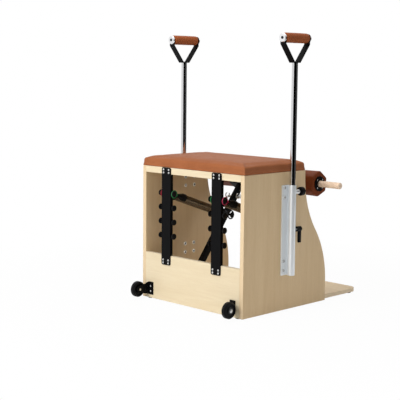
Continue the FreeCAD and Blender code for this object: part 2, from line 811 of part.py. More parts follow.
def pedal_arm(side, sign):
    """A welded arm: hub, box tube and the plate under the pad."""
    body = new_body(f"pedal_arm_{side}")
    seat = "(pad_reach - pad_apothem - plate_thick)"
    tube = new_sketch(body, "XY", "bush_radius + (hub_radius - bush_radius) / 2")
    wide, deep = "arm_thick / 2", "arm_width / 2"
    draw_loop(tube, round_rectangle(f"-{wide}", wide, f"-{deep}", deep, "arm_round"))
    draw_loop(tube, rectangle(
        f"-{wide} + arm_wall", f"{wide} - arm_wall", f"-{deep} + arm_wall", f"{deep} - arm_wall"))
    pad(body, tube, f"{seat} - bush_radius - (hub_radius - bush_radius) / 2")
    hub = new_sketch(body, "YZ")
    draw_hole(hub, 0, 0, "hub_radius")
    pad(body, hub, "hub_length", both_ways=True)
    plate = new_sketch(body, "XY", seat)
    draw_loop(plate, rectangle("-plate_width / 2", "plate_width / 2", "-plate_depth / 2", "plate_depth / 2"))
    pad(body, plate, "plate_thick")
    bores = new_sketch(body, "YZ")
    draw_hole(bores, 0, 0, "bush_radius + fit_clear")
    draw_hole(bores, 0, PIN_REACH, "pin_radius + fit_clear")
    draw_hole(bores, 0, HOOK_REACH, "pin_radius + fit_clear")
    pocket(body, bores, "hub_length + overrun", both_ways=True)
    along_arm(body, f"{sign} * {BAR_X}")
    return keep(body, f"pedal_arm_{side}")


def pedal_bushes(side, sign):
    bore = "shaft_radius + run_clear"
    master = turned(f"pedal_bush_{side}", "X", [
        ("hub_length / 2 + bush_lip", bore), ("hub_length / 2 + bush_lip", "bush_flange"),
        ("hub_length / 2", "bush_flange"), ("hub_length / 2", "bush_radius"),
        ("hub_length / 2 - bush_length", "bush_radius"), ("hub_length / 2 - bush_length", bore),
    ])
    spot = (f"{sign} * {BAR_X}", depth("pivot_depth"), height("pivot_height"))
    return group(f"pedal_bushes_{side}", master, [spot, (*spot, Z_AXIS, HALF_TURN)])


def pedal_pad(side, sign):
    """A six-sided padded roll with rounded corners and ends, bored for its sleeve."""
    body = new_body(f"pedal_pad_{side}")
    sketch = new_sketch(body, "YZ")
    sides = SIZES["pad_sides"]
    half_corner = HALF_TURN / sides
    tip = f"pad_apothem / cos({half_corner})"
    cut = f"pad_round * tan({half_corner})"
    corners = []
    for number in range(sides):
        angle = 2 * half_corner * number
        edge_way = QUARTER_TURN + half_corner
        for bend, rest in ((-edge_way, ("pad_round", 1)), (edge_way, ())):
            y = f"{tip} * cos({angle}) + {cut} * cos({angle + bend})"
            z = f"pad_reach + {tip} * sin({angle}) + {cut} * sin({angle + bend})"
            corners.append((y, z, *rest))
    draw_loop(sketch, corners)
    draw_hole(sketch, 0, "pad_reach", f"{SLEEVE_RADIUS} + fit_clear")
    pad(body, sketch, "pad_length", both_ways=True)
    ease(body, "pad_end_round",
         lambda edge: not is_hole_edge(edge) and edge.BoundBox.XLength < val("pad_round"))
    along_arm(body, f"{sign} * (pad_gap + pad_length) / 2")
    return keep(body, f"pedal_pad_{side}")


def dowel_sleeve(side, sign):
    """A steel sleeve through the pad, with the round flange that shows on the pad's outer end."""
    bore = "dowel_radius + run_clear"
    start, end = f"{sign} * pad_gap / 2", f"{sign} * (pad_gap / 2 + pad_length)"
    face = f"{sign} * (pad_gap / 2 + pad_length + flange_thick)"
    body = turned(f"dowel_sleeve_{side}", "X", [
        (start, bore), (start, SLEEVE_RADIUS), (end, SLEEVE_RADIUS), (end, "flange_radius"),
        (face, "flange_radius"), (face, bore),
    ])
    place(body, 0, depth("pivot_depth + pad_reach * cos(arm_angle)"),
          height("pivot_height + pad_reach * sin(arm_angle)"))
    return keep(body, f"dowel_sleeve_{side}")


def pedal_dowel():
    half = "dowel_length / 2"
    body = turned("pedal_dowel", "X", [
        (f"-{half}", 0), (f"-{half}", "dowel_radius - dowel_round"),
        (f"-{half} + dowel_round", "dowel_radius"), (f"{half} - dowel_round", "dowel_radius"),
        (half, "dowel_radius - dowel_round"), (half, 0),
    ])
    place(body, 0, depth("pivot_depth + pad_reach * cos(arm_angle)"),
          height("pivot_height + pad_reach * sin(arm_angle)"))
    return keep(body, "pedal_dowel")


def spring_pin(side, sign):
    """The riveted cross pin that the front eyes pull on."""
    body = turned(f"spring_pin_{side}", "X", spool_profile("pin_radius", "peg_reach"))
    place(body, f"{sign} * {BAR_X}", depth(PIN_DEPTH), height(PIN_HEIGHT))
    return keep(body, f"spring_pin_{side}")


def hook_rod(side, sign):
    """A cross rod with an open wire hook on each end, the second place for a spring."""
    body = turned(f"hook_rod_{side}", "X", cylinder_profile(
        f"-{SPRING_OFFSET} - pin_radius", f"{SPRING_OFFSET} + pin_radius", "pin_radius"))
    for outward in (-1, 1):
        hook = body.newObject("PartDesign::AdditiveTorus", f"{body.Name}_hook")
        hook.setExpression("Radius1", bound("hook_ring"))
        hook.setExpression("Radius2", bound("hook_wire"))
        hook.setExpression("Angle3", bound("hook_turn"))
        turn = Rotation(X_AXIS, val("hook_start")).multiply(Rotation(Y_AXIS, QUARTER_TURN))
        hook.Placement = Placement(Vector(), turn)
        hook.setExpression("Placement.Base.x", bound(f"{outward} * {SPRING_OFFSET}"))
        hook.setExpression("Placement.Base.y", bound("hook_ring"))
    place(body, f"{sign} * {BAR_X}", depth(f"pivot_depth + {HOOK_REACH} * cos(arm_angle)"),
          height(f"pivot_height + {HOOK_REACH} * sin(arm_angle)"), X_AXIS, f"{QUARTER_TURN} - arm_angle")
    return keep(body, f"hook_rod_{side}")


def handle_rail(side, sign):
    """An extruded rail: a flange on the panel and, on a neck, a round tube for the pole."""
    body = new_body(f"handle_rail_{side}")
    sketch = new_sketch(body, "XY")
    wing, neck = "rail_flange / 2", "neck_width / 2"
    root = f"pole_offset - sqrt(tube_radius ^ 2 - ({neck}) ^ 2)"

    def corner(out, forward, *arc):
        return (f"{sign} * ({out})", f"-({forward})", *arc)

    round_off = ("tube_radius", sign)
    draw_loop(sketch, [
        corner(0, wing), corner("rail_thick", wing), corner("rail_thick", neck),
        corner(root, neck, *round_off), corner("pole_offset", "tube_radius", *round_off),
        corner("pole_offset + tube_radius", 0, *round_off), corner("pole_offset", "-tube_radius", *round_off),
        corner(root, f"-{neck}"), corner("rail_thick", f"-{neck}"),
        corner("rail_thick", f"-{wing}"), corner(0, f"-{wing}"),
    ])
    pad(body, sketch, f"{RAIL_TOP} - rail_bottom")
    boss = new_sketch(body, "XZ")
    draw_hole(boss, f"{sign} * pole_offset", f"{PLUNGER_HEIGHT} - rail_bottom", "boss_radius")
    pad(body, boss, "boss_reach")
    bore = new_sketch(body, "XY")
    draw_hole(bore, f"{sign} * pole_offset", 0, "tube_bore")
    pocket(body, bore, f"{RAIL_TOP} - rail_bottom", backwards=True)
    bolts = new_sketch(body, "YZ")
    for forward, up in rail_bolt_places():
        draw_hole(bolts, f"-({forward})", f"{up} - rail_bottom", "bolt_radius + fit_clear")
    pocket(body, bolts, "2 * rail_thick + overrun", both_ways=True)
    front = new_sketch(body, "XZ")
    draw_hole(front, f"{sign} * pole_offset", f"{PLUNGER_HEIGHT} - rail_bottom", "thread_radius + fit_clear")
    draw_hole(front, f"{sign} * pole_offset", f"{LEVER_HEIGHT} - rail_bottom", "lever_stud + run_clear")
    pocket(body, front, "boss_reach + overrun", backwards=True)
    place(body, f"{sign} * {OUTER}", depth("rail_depth"), height("rail_bottom"))
    return keep(body, f"handle_rail_{side}")


def rail_fixings():
    """Bolts from outside, flanged sleeve nuts from inside the case, and the poles' guide bushes."""
    bolt = turned("rail_bolt", "X", [
        ("-nut_length", 0), ("-nut_length", "bolt_radius"), ("rail_thick", "bolt_radius"),
        ("rail_thick", "bolt_head"), ("rail_thick + bolt_head_height / 2", "bolt_head"),
        ("rail_thick + bolt_head_height", "bolt_head / 2"), ("rail_thick + bolt_head_height", 0),
    ])
    nut = turned("rail_nut", "X", [
        ("-panel_thick - nut_flange_thick", "bolt_radius + fit_clear"),
        ("-panel_thick - nut_flange_thick", "nut_flange"), ("-panel_thick", "nut_flange"),
        ("-panel_thick", "nut_radius"), ("-panel_thick + nut_length", "nut_radius"),
        ("-panel_thick + nut_length", "bolt_radius + fit_clear"),
    ])
    spots = [
        (f"{sign} * {OUTER}", depth(f"rail_depth + {forward}"), height(up), Z_AXIS, facing(sign))
        for _, sign in SIDES for forward, up in rail_bolt_places()]
    group("rail_bolts", bolt, spots)
    group("rail_nuts", nut, spots)
    bush = turned("pole_bush", "Z", ring_profile(
        0, "guide_height", "pole_radius + run_clear", "tube_bore - fit_clear"))
    group("pole_bushes", bush, [
        (f"{sign} * {POLE_X}", depth("rail_depth"), height(level))
        for _, sign in SIDES for level in ("rail_bottom", f"{RAIL_TOP} - guide_height")])


def handle_pole(side, sign):
    """A chromed tube with a row of stop holes down its front for the plunger."""
    body = new_body(f"handle_pole_{side}")
    sketch = new_sketch(body, "XY")
    draw_hole(sketch, 0, 0, "pole_radius")
    draw_hole(sketch, 0, 0, "pole_radius - pole_wall")
    pad(body, sketch, "pole_length")
    holes = new_sketch(body, "XZ")
    count = int(round(val("stop_count")))
    for number in range(count):
        step = number - (count - 1) / 2
        level = f"{PLUNGER_HEIGHT} - {POLE_TOP} + pole_length + {step} * stop_pitch"
        draw_hole(holes, 0, level, "stop_radius")
    pocket(body, holes, "2 * pole_radius", backwards=True)
    place(body, f"{sign} * {POLE_X}", depth("rail_depth"), height(f"{POLE_TOP} - pole_length"))
    return keep(body, f"handle_pole_{side}")


def handle_fork(side, sign):
    """A flat strap bent into a fork: a foot on the pole, two leaning arms and two upright ends."""
    body = new_body(f"handle_fork_{side}")
    sketch = new_sketch(body, "YZ")
    span, foot, top = "fork_span / 2", "fork_foot / 2", "(grip_rise + fork_width / 2)"
    lean = f"atan(({span} - {foot}) / fork_knee)"
    knee_in = f"fork_knee + fork_thick * tan({lean} / 2)"
    foot_in = f"({foot} - fork_thick * (1 - sin({lean})) / cos({lean}))"
    draw_loop(sketch, [
        (f"-{foot}", 0), (foot, 0), (span, "fork_knee"), (span, top), (f"{span} - fork_thick", top),
        (f"{span} - fork_thick", knee_in), (foot_in, "fork_thick"), (f"-{foot_in}", "fork_thick"),
        (f"-{span} + fork_thick", knee_in), (f"-{span} + fork_thick", top), (f"-{span}", top),
        (f"-{span}", "fork_knee"),
    ])
    pad(body, sketch, "fork_width", both_ways=True)
    bolts = new_sketch(body, "XZ")
    draw_hole(bolts, 0, "grip_rise", "grip_stud + fit_clear")
    pocket(body, bolts, "fork_span + overrun", both_ways=True)
    ease(body, "fork_end_round", lambda edge: edge.BoundBox.ZMin > val(f"{top} - fit_clear")
         and edge.BoundBox.YLength > val("fork_thick / 2"))
    place(body, f"{sign} * {POLE_X}", depth("rail_depth"), height(POLE_TOP))
    return keep(body, f"handle_fork_{side}")


def handle_grip(side, sign):
    """A padded grip that swells a little at its middle, with blind bores for the end studs."""
    half = "(fork_span / 2 - fork_thick - fit_clear)"
    bore, floor = "grip_stud + fit_clear", f"({half} - grip_stud_length)"
    swell = f"(({half} ^ 2 + grip_swell ^ 2) / (2 * grip_swell))"
    body = new_body(f"handle_grip_{side}")
    sketch = new_sketch(body, "XY")
    full = "grip_radius - grip_swell"
    draw_loop(sketch, [
        (0, f"-{floor}"), (bore, f"-{floor}"), (bore, f"-{half}"), (full, f"-{half}", swell, 1), (full, half),
        (bore, half), (bore, floor), (0, floor),
    ])
    feature = body.newObject("PartDesign::Revolution", f"handle_grip_{side}_turn")
    feature.Profile = sketch
    feature.ReferenceAxis = (sketch, ["V_Axis"])
    feature.Angle = FULL_TURN
    place(body, f"{sign} * {POLE_X}", depth("rail_depth"), height(GRIP_HEIGHT))
    return keep(body, f"handle_grip_{side}")


def grip_caps(side, sign):
    """Silver end caps outside the fork, with studs that reach into the grip."""
    face = "fork_span / 2"
    tip = f"{face} - fork_thick - grip_stud_length + grip_stud_clear"
    master = turned(f"grip_cap_{side}", "Y", [
        (tip, 0), (tip, "grip_stud"), (face, "grip_stud"), (face, "grip_cap_radius"),
        (f"{face} + grip_cap_thick / 2", "grip_cap_radius"),
        (f"{face} + grip_cap_thick", "grip_cap_radius - grip_cap_thick / 2"), (f"{face} + grip_cap_thick", 0),
    ])
    spot = (f"{sign} * {POLE_X}", depth("rail_depth"), height(GRIP_HEIGHT))
    return group(f"grip_caps_{side}", master, [spot, (*spot, Z_AXIS, HALF_TURN)])


def plunger_housings():
    """Threaded barrels in the front of the tubes."""
    start, face = "-tube_bore", "-boss_reach"
    bore = "plunger_pin + run_clear"
    master = turned("plunger_housing", "Y", [
        (start, bore), (start, "thread_radius"), (face, "thread_radius"), (face, "barrel_radius"),
        (f"{face} - barrel_length", "barrel_radius"), (f"{face} - barrel_length", bore),
    ])
    return group("plunger_housings", master, [
        (f"{sign} * {POLE_X}", depth("rail_depth"), height(PLUNGER_HEIGHT)) for _, sign in SIDES])


def plunger_knob(side, sign):
    """A pull knob on its pin; the pin's tip waits at the pole's surface, over a stop hole."""
    tip = "-pole_radius - tip_clear"
    rear = "(-boss_reach - barrel_length - knob_gap)"
    front = f"({rear} - knob_length)"
    body = turned(f"plunger_knob_{side}", "Y", [
        (tip, 0), (tip, "plunger_pin"), (rear, "plunger_pin"), (rear, "knob_radius - knob_round"),
        (f"{rear} - knob_round", "knob_radius"), (f"{front} + knob_round", "knob_radius"),
        (front, "knob_radius - knob_round"), (front, 0),
    ])
    place(body, f"{sign} * {POLE_X}", depth("rail_depth"), height(PLUNGER_HEIGHT))
    return keep(body, f"plunger_knob_{side}")


def clamp_lever(side, sign):
    """A clamping lever that hangs from its hub, with the stud that presses on the pole."""
    rear = "(-boss_reach - lever_start)"
    front = f"({rear} - lever_hub_length)"
    tip = "-pole_radius - tip_clear"
    body = turned(f"clamp_lever_{side}", "Y", [
        (tip, 0), (tip, "lever_stud"), (rear, "lever_stud"), (rear, "lever_hub"),
        (front, "lever_hub"), (front, 0),
    ])
    arm = new_sketch(body, "XZ", "boss_reach + lever_start + lever_hub_length - lever_thick")
    draw_loop(arm, [
        ("-lever_shoulder", 0), ("-lever_tip", "-lever_length", "lever_end_round", 1),
        ("lever_tip", "-lever_length"), ("lever_shoulder", 0),
    ])
    pad(body, arm, "lever_thick")
    place(body, f"{sign} * {POLE_X}", depth("rail_depth"), height(LEVER_HEIGHT))
    return keep(body, f"clamp_lever_{side}")


def wheel_bracket(side, sign):
    """An angle bracket on the back: a plate on the board and a nosed flange for the axle."""
    body = new_body(f"wheel_bracket_{side}")
    top = "bracket_bottom + bracket_tall"
    plate = new_sketch(body, "XZ")
    draw_loop(plate, rectangle(f"-{sign} * bracket_width", 0, "bracket_bottom", top))
    pad(body, plate, "bracket_thick").Reversed = True
    flange = new_sketch(body, "YZ")
    nose = "bracket_nose"
    draw_loop(flange, [
        (0, "bracket_bottom"), ("wheel_offset", f"wheel_height - {nose}", nose, 1),
        (f"wheel_offset + {nose}", "wheel_height", nose, 1),
        ("wheel_offset", f"wheel_height + {nose}"), (0, top),
    ])
    draw_hole(flange, "wheel_offset", "wheel_height", "axle_radius + fit_clear")
    pad(body, flange, "bracket_thick").Reversed = sign > 0
    return place(body, f"{sign} * {BRACKET_X}", depth(0), height(0))


def wheel_mountings():
    """Both brackets, and the axle bolts that pass through the wheels into them."""
    brackets = doc.addObject("Part::Compound", "wheel_bracket_set")
    brackets.Links = [wheel_bracket(side, sign) for side, sign in SIDES]
    keep(brackets, "wheel_brackets")
    inner, outer = "(-wheel_width / 2 - wheel_gap - bracket_thick)", "(wheel_width / 2 + run_clear)"
    bolt = turned("wheel_axle", "X", [
        (inner, 0), (inner, "axle_radius"), (outer, "axle_radius"), (outer, "axle_head"),
        (f"{outer} + axle_head_height / 2", "axle_head"), (f"{outer} + axle_head_height", "axle_head / 2"),
        (f"{outer} + axle_head_height", 0),
    ])
    group("wheel_axles", bolt, [
        (f"{sign} * wheel_mid", depth("-wheel_offset"), height("wheel_height"), Z_AXIS, facing(sign))
        for _, sign in SIDES])


def wheels():
    """Transport wheels: a tyre-like rim, a web and a hub that runs on the axle bolt."""
    half, web = "wheel_width / 2", "(wheel_width / 2 - wheel_recess)"
    inner = f"(-{half} - wheel_gap + run_clear)"
    for side, sign in SIDES:
        body = turned(f"wheel_{side}", "X", [
            (f"{sign} * {inner}", "axle_radius + run_clear"), (f"{sign} * {inner}", "wheel_hub"),
            (f"{sign} * -{web}", "wheel_hub"), (f"{sign} * -{web}", "wheel_rim"),
            (f"{sign} * -{half}", "wheel_rim"), (f"{sign} * -{half}", "wheel_radius - wheel_round"),
            (f"{sign} * (-{half} + wheel_round)", "wheel_radius"),
            (f"{sign} * ({half} - wheel_round)", "wheel_radius"),
            (f"{sign} * {half}", "wheel_radius - wheel_round"), (f"{sign} * {half}", "wheel_rim"),
            (f"{sign} * {web}", "wheel_rim"), (f"{sign} * {web}", "wheel_hub"),
            (f"{sign} * {half}", "wheel_hub"), (f"{sign} * {half}", "axle_radius + run_clear"),
        ])
        place(body, f"{sign} * wheel_mid", depth("-wheel_offset"), height("wheel_height"))
        keep(body, f"wheel_{side}")


def build():
    cross_board("back_panel", 0, "back_height")
    cross_board("top_rail", "case_height - rail_height", "case_height")
    seat_board()
    base_board()
    rubber_feet()
    seat_cushion()
    bar_screws()
    spring_pegs()
    pivot_parts()
    pedal_dowel()
    rail_fixings()
    plunger_housings()
    wheel_mountings()
    wheels()
    for side, sign in SIDES:
        side_panel(side, sign)
        spring_bar(side, sign)
        springs(side, sign)
        for seat, outward in SEATS:
            spring_eye(side, sign, seat, outward)
        spring_rear_caps(side, sign)
        spring_front_caps(side, sign)
        for piece in (pedal_arm, pedal_bushes, pedal_pad, dowel_sleeve, spring_pin, hook_rod, handle_rail,
                      handle_pole, handle_fork, handle_grip, grip_caps, plunger_knob, clamp_lever):
            piece(side, sign)
    doc.recompute()


def check():
    """Stops the build where an object failed or a piece has no sound shape."""
    for thing in doc.Objects:
        if "Invalid" in thing.State or "Error" in thing.State:
            raise ValueError(f"{thing.Name} failed: {thing.State}")
    for node in nodes:
        if node.Shape.isNull() or not node.Shape.isValid() or not node.Shape.Solids:
            raise ValueError(f"{node.Label} has no sound shape")


def write():
    os.makedirs("parts", exist_ok=True)
    for node in nodes:
        node.Shape.exportStep(f"parts/{node.Label}.step")


build()
check()
write()
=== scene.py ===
import math

import bmesh
import bpy
from mathutils import Matrix, Vector


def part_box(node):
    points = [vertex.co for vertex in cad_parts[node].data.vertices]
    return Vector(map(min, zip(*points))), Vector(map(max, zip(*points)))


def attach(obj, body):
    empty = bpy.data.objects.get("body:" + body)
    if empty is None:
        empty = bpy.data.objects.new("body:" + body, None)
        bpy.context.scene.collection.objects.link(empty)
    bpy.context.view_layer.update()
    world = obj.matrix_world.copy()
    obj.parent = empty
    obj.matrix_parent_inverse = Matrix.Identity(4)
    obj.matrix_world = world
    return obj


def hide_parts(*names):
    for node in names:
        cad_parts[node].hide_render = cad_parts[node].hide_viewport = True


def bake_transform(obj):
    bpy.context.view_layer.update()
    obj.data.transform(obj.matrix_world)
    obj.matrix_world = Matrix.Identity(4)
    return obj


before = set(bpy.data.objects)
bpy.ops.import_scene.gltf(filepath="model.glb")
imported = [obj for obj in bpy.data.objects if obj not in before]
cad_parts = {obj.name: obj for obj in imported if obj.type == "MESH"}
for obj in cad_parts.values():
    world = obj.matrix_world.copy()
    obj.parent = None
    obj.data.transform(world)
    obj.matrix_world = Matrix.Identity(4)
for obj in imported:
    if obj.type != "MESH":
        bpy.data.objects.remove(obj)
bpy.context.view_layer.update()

SIDES = (("left", 1), ("right", -1))
MM = 0.001

# The photo's camera, fitted to the chair's edges with almost no shift, so that other views stay framed
IMAGE_WIDTH = 400
SENSOR_WIDTH = 36
FOCAL_PIXELS = 1017.431
PRINCIPAL_HEIGHT = 190.0
CAMERA_YAW = 0.00252
CAMERA_PITCH = -0.1155
CAMERA_ROLL = 0.00952
CAMERA_PLACE = (-3.050572, 3.337515, 1.003618)

# Spring geometry, from peg to pin
PEG = Vector((0, 0.3493, 0.4805))
SPRING_WAY = Vector((0, -0.946456, -0.322833))
SPRING_LENGTH = 385.25 * MM
SPRING_SPOTS = (117.75 * MM, 185.25 * MM)
COIL_START = 62 * MM
COIL_RADIUS = 12 * MM
COIL_WIRE = 2 * MM
COIL_PITCH = 4.4 * MM
STEPS_PER_TURN = 20
WIRE_SIDES = 8

# Pedal pads
PAD_TIP = 57.04 * MM
PAD_CORNER = 3.4 * MM
PAD_TURN = math.radians(7.15)
PAD_BORE = 17.4 * MM
FLANGE_RADIUS = 32.5 * MM
FLANGE_SCREW_CIRCLE = 24.5 * MM

# Handles: pole, rail and what is fixed to them
POLE_ACROSS = 329 * MM
KNOB_HEIGHT = 0.508
LEVER_HEIGHT = 0.349
STUD_RADIUS = 5 * MM
RAIL_DEPTH = 84.5 * MM
RAIL_COLUMN = 27.5 * MM
RAIL_HEAD_ACROSS = 310 * MM
NUT_ACROSS = 285 * MM
NUT_PROFILE = ((4.2, 0.1), (4.3, 1.7), (5.0, 2.5), (6.6, 2.4), (8.0, 1.7), (8.8, 0.6), (9.0, 0.0), (4.2, 0.0))

# Back of the case: spring bars, wheels and brackets
BACK_PLATE_FACE = 358.5 * MM
BAR_SCREW_ROWS = (9 * MM, 22 * MM)
BAR_SCREW_COLUMN = 16 * MM
WHEEL_CENTRE = (0, 0.409, 0.0465)
WHEEL_CORE_RADIUS = 13 * MM
BRACKET_SCREW_ACROSS = 249 * MM
BRACKET_SCREW_HEIGHTS = (35 * MM, 57 * MM)

# Studio
FLOOR_HALF = 30
FLOOR_GREY = (0.86, 0.86, 0.86, 1)
WHITE = (1, 1, 1, 1)
SHADOW_NEAR, SHADOW_FAR = 0.7, 1.7
NEAR_WHITE = 0.96
SURROUND_LIGHT = 0.24
CARD_CENTRE = (-0.33, 0.085)


def node(tree, kind, inputs=None, **settings):
    """A shader node with its settings, and its inputs set or linked."""
    made = tree.nodes.new(kind)
    for name, value in settings.items():
        setattr(made, name, value)
    for key, value in (inputs or {}).items():
        if isinstance(value, bpy.types.NodeSocket):
            tree.links.new(value, made.inputs[key])
        else:
            made.inputs[key].default_value = value
    return made


def math_node(tree, operation, first, second=0.0):
    """The result of one sum on values."""
    return node(tree, "ShaderNodeMath", {0: first, 1: second}, operation=operation).outputs[0]


def spread(tree, value, low, high, to_low=0.0, to_high=1.0):
    """Maps a value from one range to another, held at the ends."""
    return node(tree, "ShaderNodeMapRange", {
        "Value": value, "From Min": low, "From Max": high, "To Min": to_low, "To Max": to_high}).outputs["Result"]


def blend_colours(tree, share, first, second):
    """From the first colour to the second by a share of 0 to 1."""
    mix = node(tree, "ShaderNodeMix", data_type="RGBA", blend_type="MIX")
    for key, value in ((0, share), (6, first), (7, second)):
        if isinstance(value, bpy.types.NodeSocket):
            tree.links.new(value, mix.inputs[key])
        else:
            mix.inputs[key].default_value = value if key == 0 else (*value, 1.0)
    return mix.outputs[2]


def stretched(tree, vector, scale, turn=(0, 0, 0)):
    """Coordinates turned and scaled."""
    return node(tree, "ShaderNodeMapping", {"Vector": vector, "Scale": scale, "Rotation": turn}).outputs["Vector"]


def noise(tree, vector, scale, detail=2.0, rough=0.5, warp=0.0):
    """A cloudy value from 0 to 1."""
    return node(tree, "ShaderNodeTexNoise", {
        "Vector": vector, "Scale": scale, "Detail": detail, "Roughness": rough, "Distortion": warp}).outputs["Fac"]


def new_group(name, inputs, outputs):
    """A shader node group with named sockets; returns its tree, its input node and its output node."""
    tree = bpy.data.node_groups.new(name, "ShaderNodeTree")
    for label, kind, value in inputs:
        socket = tree.interface.new_socket(name=label, in_out="INPUT", socket_type=kind)
        socket.default_value = value
    for label in outputs:
        tree.interface.new_socket(name=label, in_out="OUTPUT", socket_type="NodeSocketFloat")
    return tree, tree.nodes.new("NodeGroupInput"), tree.nodes.new("NodeGroupOutput")


VECTOR_INPUT = ("Vector", "NodeSocketVector", (0, 0, 0))


def make_wood_fibre():
    """Wood that grows along X: broad figure, fine fibres and short dark pores."""
    tree, start, end = new_group("wood_fibre", [VECTOR_INPUT], ["Figure", "Fibre", "Pores"])
    vector = start.outputs["Vector"]
    figure = noise(tree, stretched(tree, vector, (2.2, 34, 34)), 1.0, 4.0, 0.55, 0.9)
    fibre = noise(tree, stretched(tree, vector, (14, 620, 620)), 1.0, 3.0, 0.6)
    pores = noise(tree, stretched(tree, vector, (55, 1100, 1100)), 1.0, 1.0, 0.5)
    tree.links.new(spread(tree, figure, 0.3, 0.7), end.inputs["Figure"])
    tree.links.new(spread(tree, fibre, 0.3, 0.7), end.inputs["Fibre"])
    tree.links.new(spread(tree, pores, 0.62, 0.74), end.inputs["Pores"])
    return tree


def make_ply_layers():
    """Alternating plies across a board; Depth is the coordinate across it."""
    tree, start, end = new_group(
        "ply_layers", [("Depth", "NodeSocketFloat", 0.0), ("Ply", "NodeSocketFloat", 0.0015)], ["Layer"])
    wave = math_node(tree, "PINGPONG", start.outputs["Depth"], start.outputs["Ply"])
    share = math_node(tree, "DIVIDE", wave, start.outputs["Ply"])
    tree.links.new(spread(tree, share, 0.35, 0.65), end.inputs["Layer"])
    return tree


def make_leather_grain():
    """Pebbled leather: Pebble is the height, Crease the dark net between pebbles, Mottle the slow shade."""
    tree, start, end = new_group(
        "leather_grain", [VECTOR_INPUT, ("Scale", "NodeSocketFloat", 520.0)], ["Pebble", "Crease", "Mottle"])
    vector = start.outputs["Vector"]
    wobble = node(tree, "ShaderNodeTexNoise", {"Vector": vector, "Scale": 260.0, "Detail": 2.0})
    pushed = node(tree, "ShaderNodeVectorMath", {0: wobble.outputs["Color"], 1: (0.0012, 0.0012, 0.0012)},
                  operation="MULTIPLY").outputs[0]
    warped = node(tree, "ShaderNodeVectorMath", {0: vector, 1: pushed}, operation="ADD").outputs[0]
    cells = node(tree, "ShaderNodeTexVoronoi", {"Vector": warped, "Scale": start.outputs["Scale"]},
                 feature="DISTANCE_TO_EDGE").outputs["Distance"]
    fine = noise(tree, vector, 1500.0, 2.0)
    pebble = spread(tree, cells, 0.0, 0.22)
    height = math_node(tree, "ADD", pebble, math_node(tree, "MULTIPLY", fine, 0.25))
    mottle = noise(tree, vector, 9.0, 5.0, 0.6)
    tree.links.new(height, end.inputs["Pebble"])
    tree.links.new(spread(tree, cells, 0.0, 0.08, 1.0, 0.0), end.inputs["Crease"])
    tree.links.new(spread(tree, mottle, 0.3, 0.7), end.inputs["Mottle"])
    return tree


def make_surface_wear():
    """Handling marks: Smudge is broad and soft, Speck is fine, for roughness and bump."""
    tree, start, end = new_group("surface_wear", [VECTOR_INPUT], ["Smudge", "Speck"])
    vector = start.outputs["Vector"]
    smudge = noise(tree, vector, 16.0, 6.0, 0.65, 0.4)
    speck = noise(tree, vector, 2200.0, 2.0)
    tree.links.new(spread(tree, smudge, 0.3, 0.7), end.inputs["Smudge"])
    tree.links.new(speck, end.inputs["Speck"])
    return tree


def make_edge_rub_and_highlight():
    """Along hard edges, partly rub wear and partly a painted highlight: Rub is 1 along edges, broken up by noise.
    """
    tree, start, end = new_group(
        "edge_rub_and_highlight", [VECTOR_INPUT, ("Width", "NodeSocketFloat", 0.0012)], ["Rub"])
    soft = node(tree, "ShaderNodeBevel", {"Radius": start.outputs["Width"]}, samples=4)
    plain = node(tree, "ShaderNodeNewGeometry")
    same = node(tree, "ShaderNodeVectorMath", {0: soft.outputs["Normal"], 1: plain.outputs["Normal"]},
                operation="DOT_PRODUCT").outputs["Value"]
    edge = spread(tree, same, 0.995, 0.85)
    broken = spread(tree, noise(tree, start.outputs["Vector"], 120.0, 4.0, 0.7), 0.35, 0.65)
    tree.links.new(math_node(tree, "MULTIPLY", edge, broken), end.inputs["Rub"])
    return tree


WOOD_FIBRE = make_wood_fibre()
PLY_LAYERS = make_ply_layers()
LEATHER_GRAIN = make_leather_grain()
SURFACE_WEAR = make_surface_wear()
EDGE_RUB_AND_HIGHLIGHT = make_edge_rub_and_highlight()


def new_finish(name):
    """An empty finish: returns the material, its tree, its Principled shader and its object coordinates."""
    material = bpy.data.materials.new(name)
    material.use_nodes = True
    tree = material.node_tree
    shader = tree.nodes["Principled BSDF"]
    place = tree.nodes.new("ShaderNodeTexCoord").outputs["Object"]
    return material, tree, shader, place


def use_group(tree, group, **inputs):
    """Puts a node group in a tree with its inputs set or linked; returns its outputs."""
    made = tree.nodes.new("ShaderNodeGroup")
    made.node_tree = group
    for key, value in inputs.items():
        if isinstance(value, bpy.types.NodeSocket):
            tree.links.new(value, made.inputs[key])
        else:
            made.inputs[key].default_value = value
    return made.outputs


def feed(tree, shader, **links):
    """Links sources to a shader's inputs by name."""
    for key, source in links.items():
        tree.links.new(source, shader.inputs[key.replace("_", " ")])


def bump(tree, shader, height, strength, distance):
    """Bends a shader's normal by a height; distance is in metres."""
    made = node(tree, "ShaderNodeBump", {"Strength": strength, "Distance": distance, "Height": height})
    tree.links.new(made.outputs["Normal"], shader.inputs["Normal"])


def toned(colour, tone):
    """A colour with each channel scaled."""
    return tuple(part * share for part, share in zip(colour, tone))


PLY_LIGHT, PLY_DARK, PLY_FIBRE = (0.82, 0.66, 0.43), (0.765, 0.595, 0.37), (0.64, 0.47, 0.275)
PLY_PORE = (0.42, 0.28, 0.15)
EDGE_LIGHT, EDGE_DARK, EDGE_FIBRE = (0.86, 0.73, 0.52), (0.75, 0.59, 0.39), (0.55, 0.40, 0.24)
PLY_THICKNESS = 0.00155


